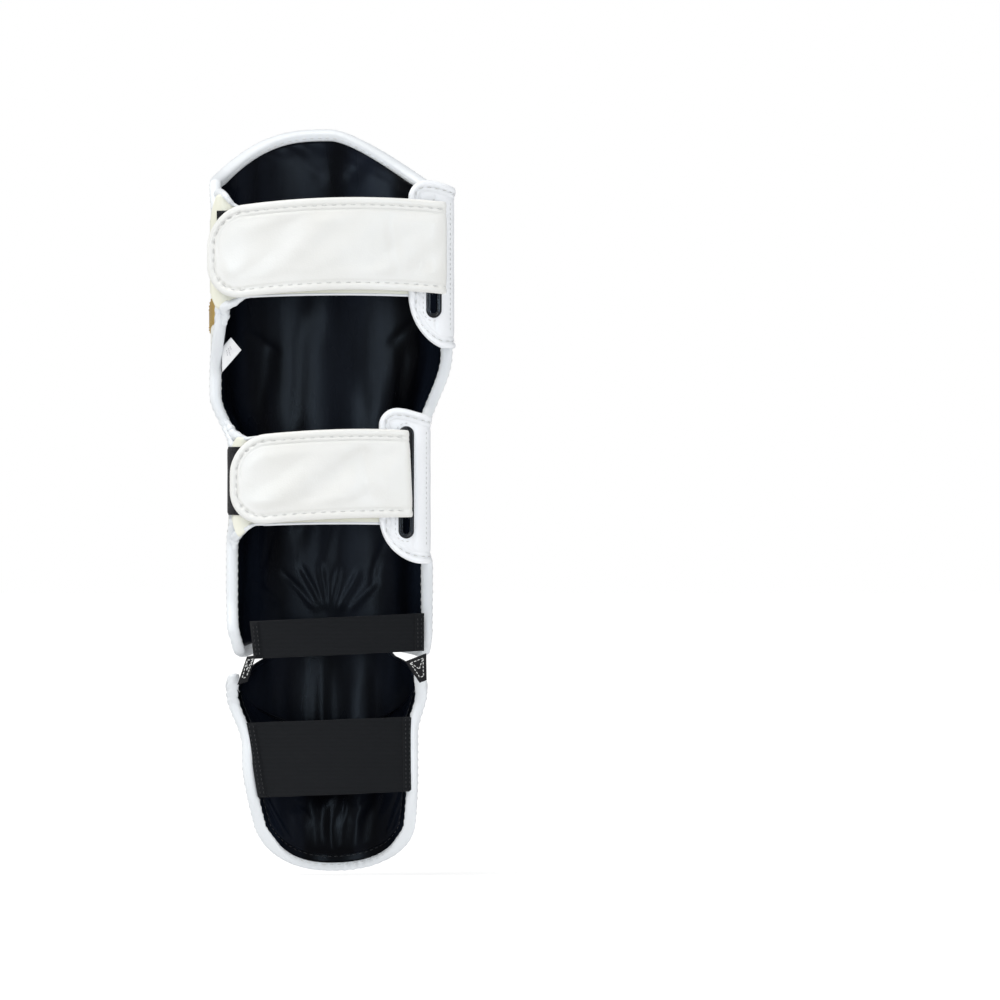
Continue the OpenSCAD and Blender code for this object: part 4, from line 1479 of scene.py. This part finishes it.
def make_elastic(place, path, z_left, z_right, half, lean, body, fold):
    """A woven band with folded, stitched ends, whose fold is the length turned back.

    It may slope a little across, and lean moves its left end's lower corner inward."""
    name, course = place + "_elastic", Ribbon(path)
    thick = 0.85

    def spot(s, t, out):
        left = 1 - s / course.length
        x, y, z = course.at(s, mix(z_right, z_left, left) + t, out)
        return (x + lean * left * (1 - t / half) / 2, y, z)

    ns, nt = 90, 40
    rows = crowded(nt, 0.9)

    def face(sign):
        def at(p, q):
            s, t = p * course.length, mix(-half, half, rows[round(q * nt)])
            edge = rounded(half - abs(t), 0.7)
            x, y, z = spot(s, t, 0)
            sag = 0.5 * rough_at(x, y, z, 40) + 0.25 * math.sin(s / 17) * (t / half) ** 2
            wide = 1 + 0.008 * rough_at(x, 0, 0, 25)
            return spot(s, t * wide, sign * thick * (0.35 + 0.65 * edge) + sag)
        return at

    slab(name + "_band", face(1), face(-1), ns, nt, ELASTIC, body, "elastic", replaces=(name,))
    for k, (s0, s1) in enumerate(((0.6, fold), (course.length - fold, course.length - 0.6))):
        def end_face(out, s0=s0, s1=s1):
            def at(p, q):
                s, t = mix(s0, s1, p), mix(-half, half, q) * 0.985
                near = min(s - s0, s1 - s, half * 0.985 - abs(t))
                edge = rounded(near, 2.6)
                return spot(s, t, out if out < 1 else mix(0.8, out, edge))
            return at
        slab(f"{name}_end_{k}", end_face(2.3), end_face(0.5), 10, 40, ELASTIC, body, "elastic",
             replaces=(name + "_ends",) if k == 0 else ())
        seams = [[spot(mix(s0, s1, w), mix(-half + 2, half - 2, t / 40), 2.4) for t in range(41)]
                 for w in (0.3, 0.72)]
        stitches(f"{name}_end_seam_{k}", seams, calf_facing(), *ELASTIC_STITCH, DARK_THREAD, body, "elastic")


# ---- Instep cushion, flexible panel, tabs and label ----

def make_step_cushion():
    """The raised soft cushion on the instep lining, rounded at its corners."""
    nu, nv = 64, 56
    u0, v0 = step_uv(0.05, 0.055)
    u1, v1 = step_uv(0.95, 0.995)

    def place(a, b, depth):
        x, y = squircle(a, b, 0.18 if b < 0 else 0.1)
        return step_at(mix(u0, u1, (x + 1) / 2), mix(v0, v1, (y + 1) / 2), depth)

    def inner(s, t):
        a, b = 2 * s - 1, 2 * t - 1
        body = ((1 - a ** 6) * (1 - b ** 8)) ** 0.5
        x, y, z = place(a, b, EDGE_THICK)
        return place(a, b, EDGE_THICK + 0.5 + 3.6 * body + body * fold_rise(x, z, STEP_FOLDS)
                     + 0.4 * body * rough_at(x, y, z * 0.5, 18))

    cushion = slab("instep_cushion_cloth", lambda s, t: place(2 * s - 1, 2 * t - 1, EDGE_THICK - 0.2), inner,
                   nu, nv, LINING, "instep", "lining", replaces=("instep_cushion",))
    side = (nu + 1) * (nv + 1)
    pinned = list(range(side)) + [side + k for k in border_of(nu, nv)]
    simulated(cushion, pinned, 1.2, -0.03, 12, 1.8)
    refine(cushion)
    border = unit_border(60, 60)
    seam = [place((2 * s - 1) * 1.03, (2 * t - 1) * 1.02, EDGE_THICK + 0.75)
            for s, t in border[183:] + border[:117]]
    stitches("instep_cushion_seam", [seam], inward, *CUSHION_STITCH, DARK_THREAD, "instep", "lining")


def make_flex_panel():
    """The soft black panel that closes the front of the ankle and tucks up inside the shin."""
    nu, nv = 90, 26

    def spot(p, q, depth):
        u = mix(0.012, 0.988, p)
        a = step_angle(u, 1, -8)
        low_depth = mix(EDGE_THICK + 1.4, 4.2, ease((abs(a) - 55) / 30))
        low = step_at(u, 0.955, low_depth + depth)
        half = (shin_left(0) if a < 0 else shin_right(0)) - mix(10, 8.4, ease((abs(a) - 65) / 28))
        top = max(-7.0, 17 * math.cos(math.radians(a)) - 6 + 15 * ease((54 - abs(a)) / 24))
        high = on_shell(a * 0.97, top, half, 42.5, 42.5, depth)
        share = mix(math.sqrt(q), q ** 1.5, ease((abs(a) - 55) / 35))
        x, y, z = mix(low[0], high[0], share), mix(low[1], high[1], share), mix(low[2], high[2], q)
        crease = 0.9 * rough_at(x, y, z * 0.25, 13) + fold_rise(x, -30, STEP_FOLDS)
        scale = 1 - math.sin(math.pi * min(1, q + 0.3)) * crease / 60
        return (x * scale, y * scale, z)

    panel = slab("ankle_flex_cloth", lambda p, q: spot(p, q, 0), lambda p, q: spot(p, q, 2.4), nu, nv,
                 LINING, "instep", "lining", replaces=("ankle_flex_panel",))
    rim = [spot(k / nu, 1, 1.2) for k in range(nu + 1)]
    hem = cord_tube("ankle_flex_hem", rim, 1.7, False, LINING, "instep", "lining")


def make_tab(side, corners):
    """A short black webbing tab at the ankle, a little clear of both shells.

    corners are x and z of its top left, top right, lower right and lower left corners."""
    places = [Vector((x, -19.5, z)) for x, z in corners]
    thick = 0.8
    ns, nt = 30, 16

    def face(sign):
        def at(p, q):
            high, low = places[0].lerp(places[1], q), places[3].lerp(places[2], q)
            point = high.lerp(low, p)
            half = mix(places[1].x - places[0].x, places[2].x - places[3].x, p) / 2
            edge = rounded(min(min(p, 1 - p) * (high - low).length, half * (1 - abs(2 * q - 1))), 0.7)
            wave = 0.5 * rough_at(point.x, 0, point.z, 8) - 1.6 * math.sin(math.pi * p)
            return (point.x, point.y + wave - sign * thick * (0.3 + 0.7 * edge), point.z)
        return at

    tab = slab(side + "_ankle_webbing", face(1), face(-1), ns, nt, WEBBING, None, "webbing",
               replaces=(side + "_ankle_tab",))
    surface = face(1)

    def seam_spot(p, q):
        x, y, z = surface(p, q)
        return (x, y - 0.2, z)

    knots = [(0.14, 0.16), (0.14, 0.84), (0.8, 0.7), (0.8, 0.3), (0.14, 0.16), (0.5, 0.5), (0.14, 0.84)]
    lines = [[seam_spot(*lerp(start, end, k / 8)) for k in range(9)] for start, end in zip(knots, knots[1:])]
    threads = stitches(side + "_ankle_stitches", lines, calf_facing(), *TAB_STITCH, PALE_THREAD, None,
                       "webbing")
    start, end = (places[0] + places[1]) / 2 * MM, (places[2] + places[3]) / 2 * MM
    for piece in (tab, threads):
        tuple(start)
        tuple(end)
        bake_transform(piece)


def make_label():
    """A folded care label with a few plain dashes, that comes out from under the left binding."""
    corners = [(-78, 229), (-71.5, 236), (-64, 227), (-78, 211)]

    def leaf(lift):
        def at(p, q):
            low = lerp(corners[0], corners[3], p)
            high = lerp(corners[1], corners[2], p)
            x, z = lerp(low, high, q)
            curl = 2.2 * q * q + 0.7 * math.sin(3 * p + 2 * q)
            return (x, -11.5 - 4 * q - curl - lift, z)
        return at

    front = slab("care_label_front", leaf(0.5), leaf(0.15), 18, 24, LABEL, "shin", "label",
                 replaces=("care_label",))
    back = slab("care_label_back", leaf(-0.35), leaf(-0.7), 18, 24, LABEL, "shin", "label")
    printed = leaf(0.62)
    rows = [[printed(mix(0.3, stop, k / 10), q) for k in range(11)]
            for q, stop in ((0.36, 0.62), (0.5, 0.7), (0.64, 0.55))]
    marks = stitches("care_label_print", rows, calf_facing(), *PRINT_DASH, PRINT, "shin", "label")


# ---- Stage and assembly ----

def make_stage():
    """A wide plain pale floor just under the toe."""
    size, z = 30.0, (-STEP_DROP - 2.5) * MM
    mesh = bpy.data.meshes.new("floor")
    corners = [(-size, -size, z), (size, -size, z), (size, size, z), (-size, size, z)]
    mesh.from_pydata(corners, [], [(0, 1, 2, 3)])
    mesh.materials.append(ground("floor_paper"))
    floor = new_object("floor", mesh)
    floor.visible_glossy = False


make_camera()
make_light()
make_stage()
make_shell("shin", shin_at, shin_uv, shin_thick, shin_lining_rise, (110, 190), (60, 100))
make_shell("instep", step_at, step_uv, step_thick, step_lining_rise, (90, 80), (50, 40))
make_binding("shin", shin_at, shin_thick, shin_pairs(), True, shin_pucker)
make_binding("instep", step_at, step_thick, step_pairs(), False, step_pucker)
make_top_facing()
make_front_pads()
make_gold_accents()
make_base_strap("upper", half=87.0, slot_x=73.8, arch=UPPER_ARCH, low_z=266.2, flare=(7, 12),
                flare_x=(-62, -65), side_y=-11, loop_start=22.4, side_z=302.5)
make_base_strap("lower", half=71.3, slot_x=54.3, arch=LOWER_ARCH, low_z=101.6, flare=(8, 4),
                flare_x=(-55, -62), side_y=12, loop_start=1.5, side_z=132.5)
make_flap("upper", 73.8, UPPER_ARCH, half=33.3, x_free=-86.3, fold=UPPER_FOLD, slant=0, squeeze=0)
make_flap("lower", 54.3, LOWER_ARCH, half=32.3, x_free=-70.3, fold=LOWER_FOLD, slant=1.6, squeeze=0.04)
make_ear("upper", half=87.2, r=10, x_in=56, z_low=228, z_high=349, slot_x=73.8, slot_z=291.2,
         slot_high=83, edges=(228, 349, 40, 1.3, 25))
make_ear("lower", half=70.2, r=8, x_in=35, z_low=74, z_high=185, slot_x=54.3, slot_z=131.5,
         slot_high=81, edges=(73, 185, 36, 1.5, 30))
make_elastic("ankle", bow((-58, -14.5), (67.5, -12.5), 9), 17.8, 23.6, half=13.6, lean=3, body="shin",
             fold=7)
make_elastic("instep", bow((-61, -5.5), (59, -5.5), 9), -69, -64.5, half=27, lean=9, body="instep",
             fold=7.5)
make_step_cushion()
make_flex_panel()
make_tab("left", [(-60, 6), (-53.5, 7), (-59.5, -12), (-67, -14.5)])
make_tab("right", [(54, 2.5), (69.3, 8.5), (69.6, -11), (64.5, -13)])
make_label()
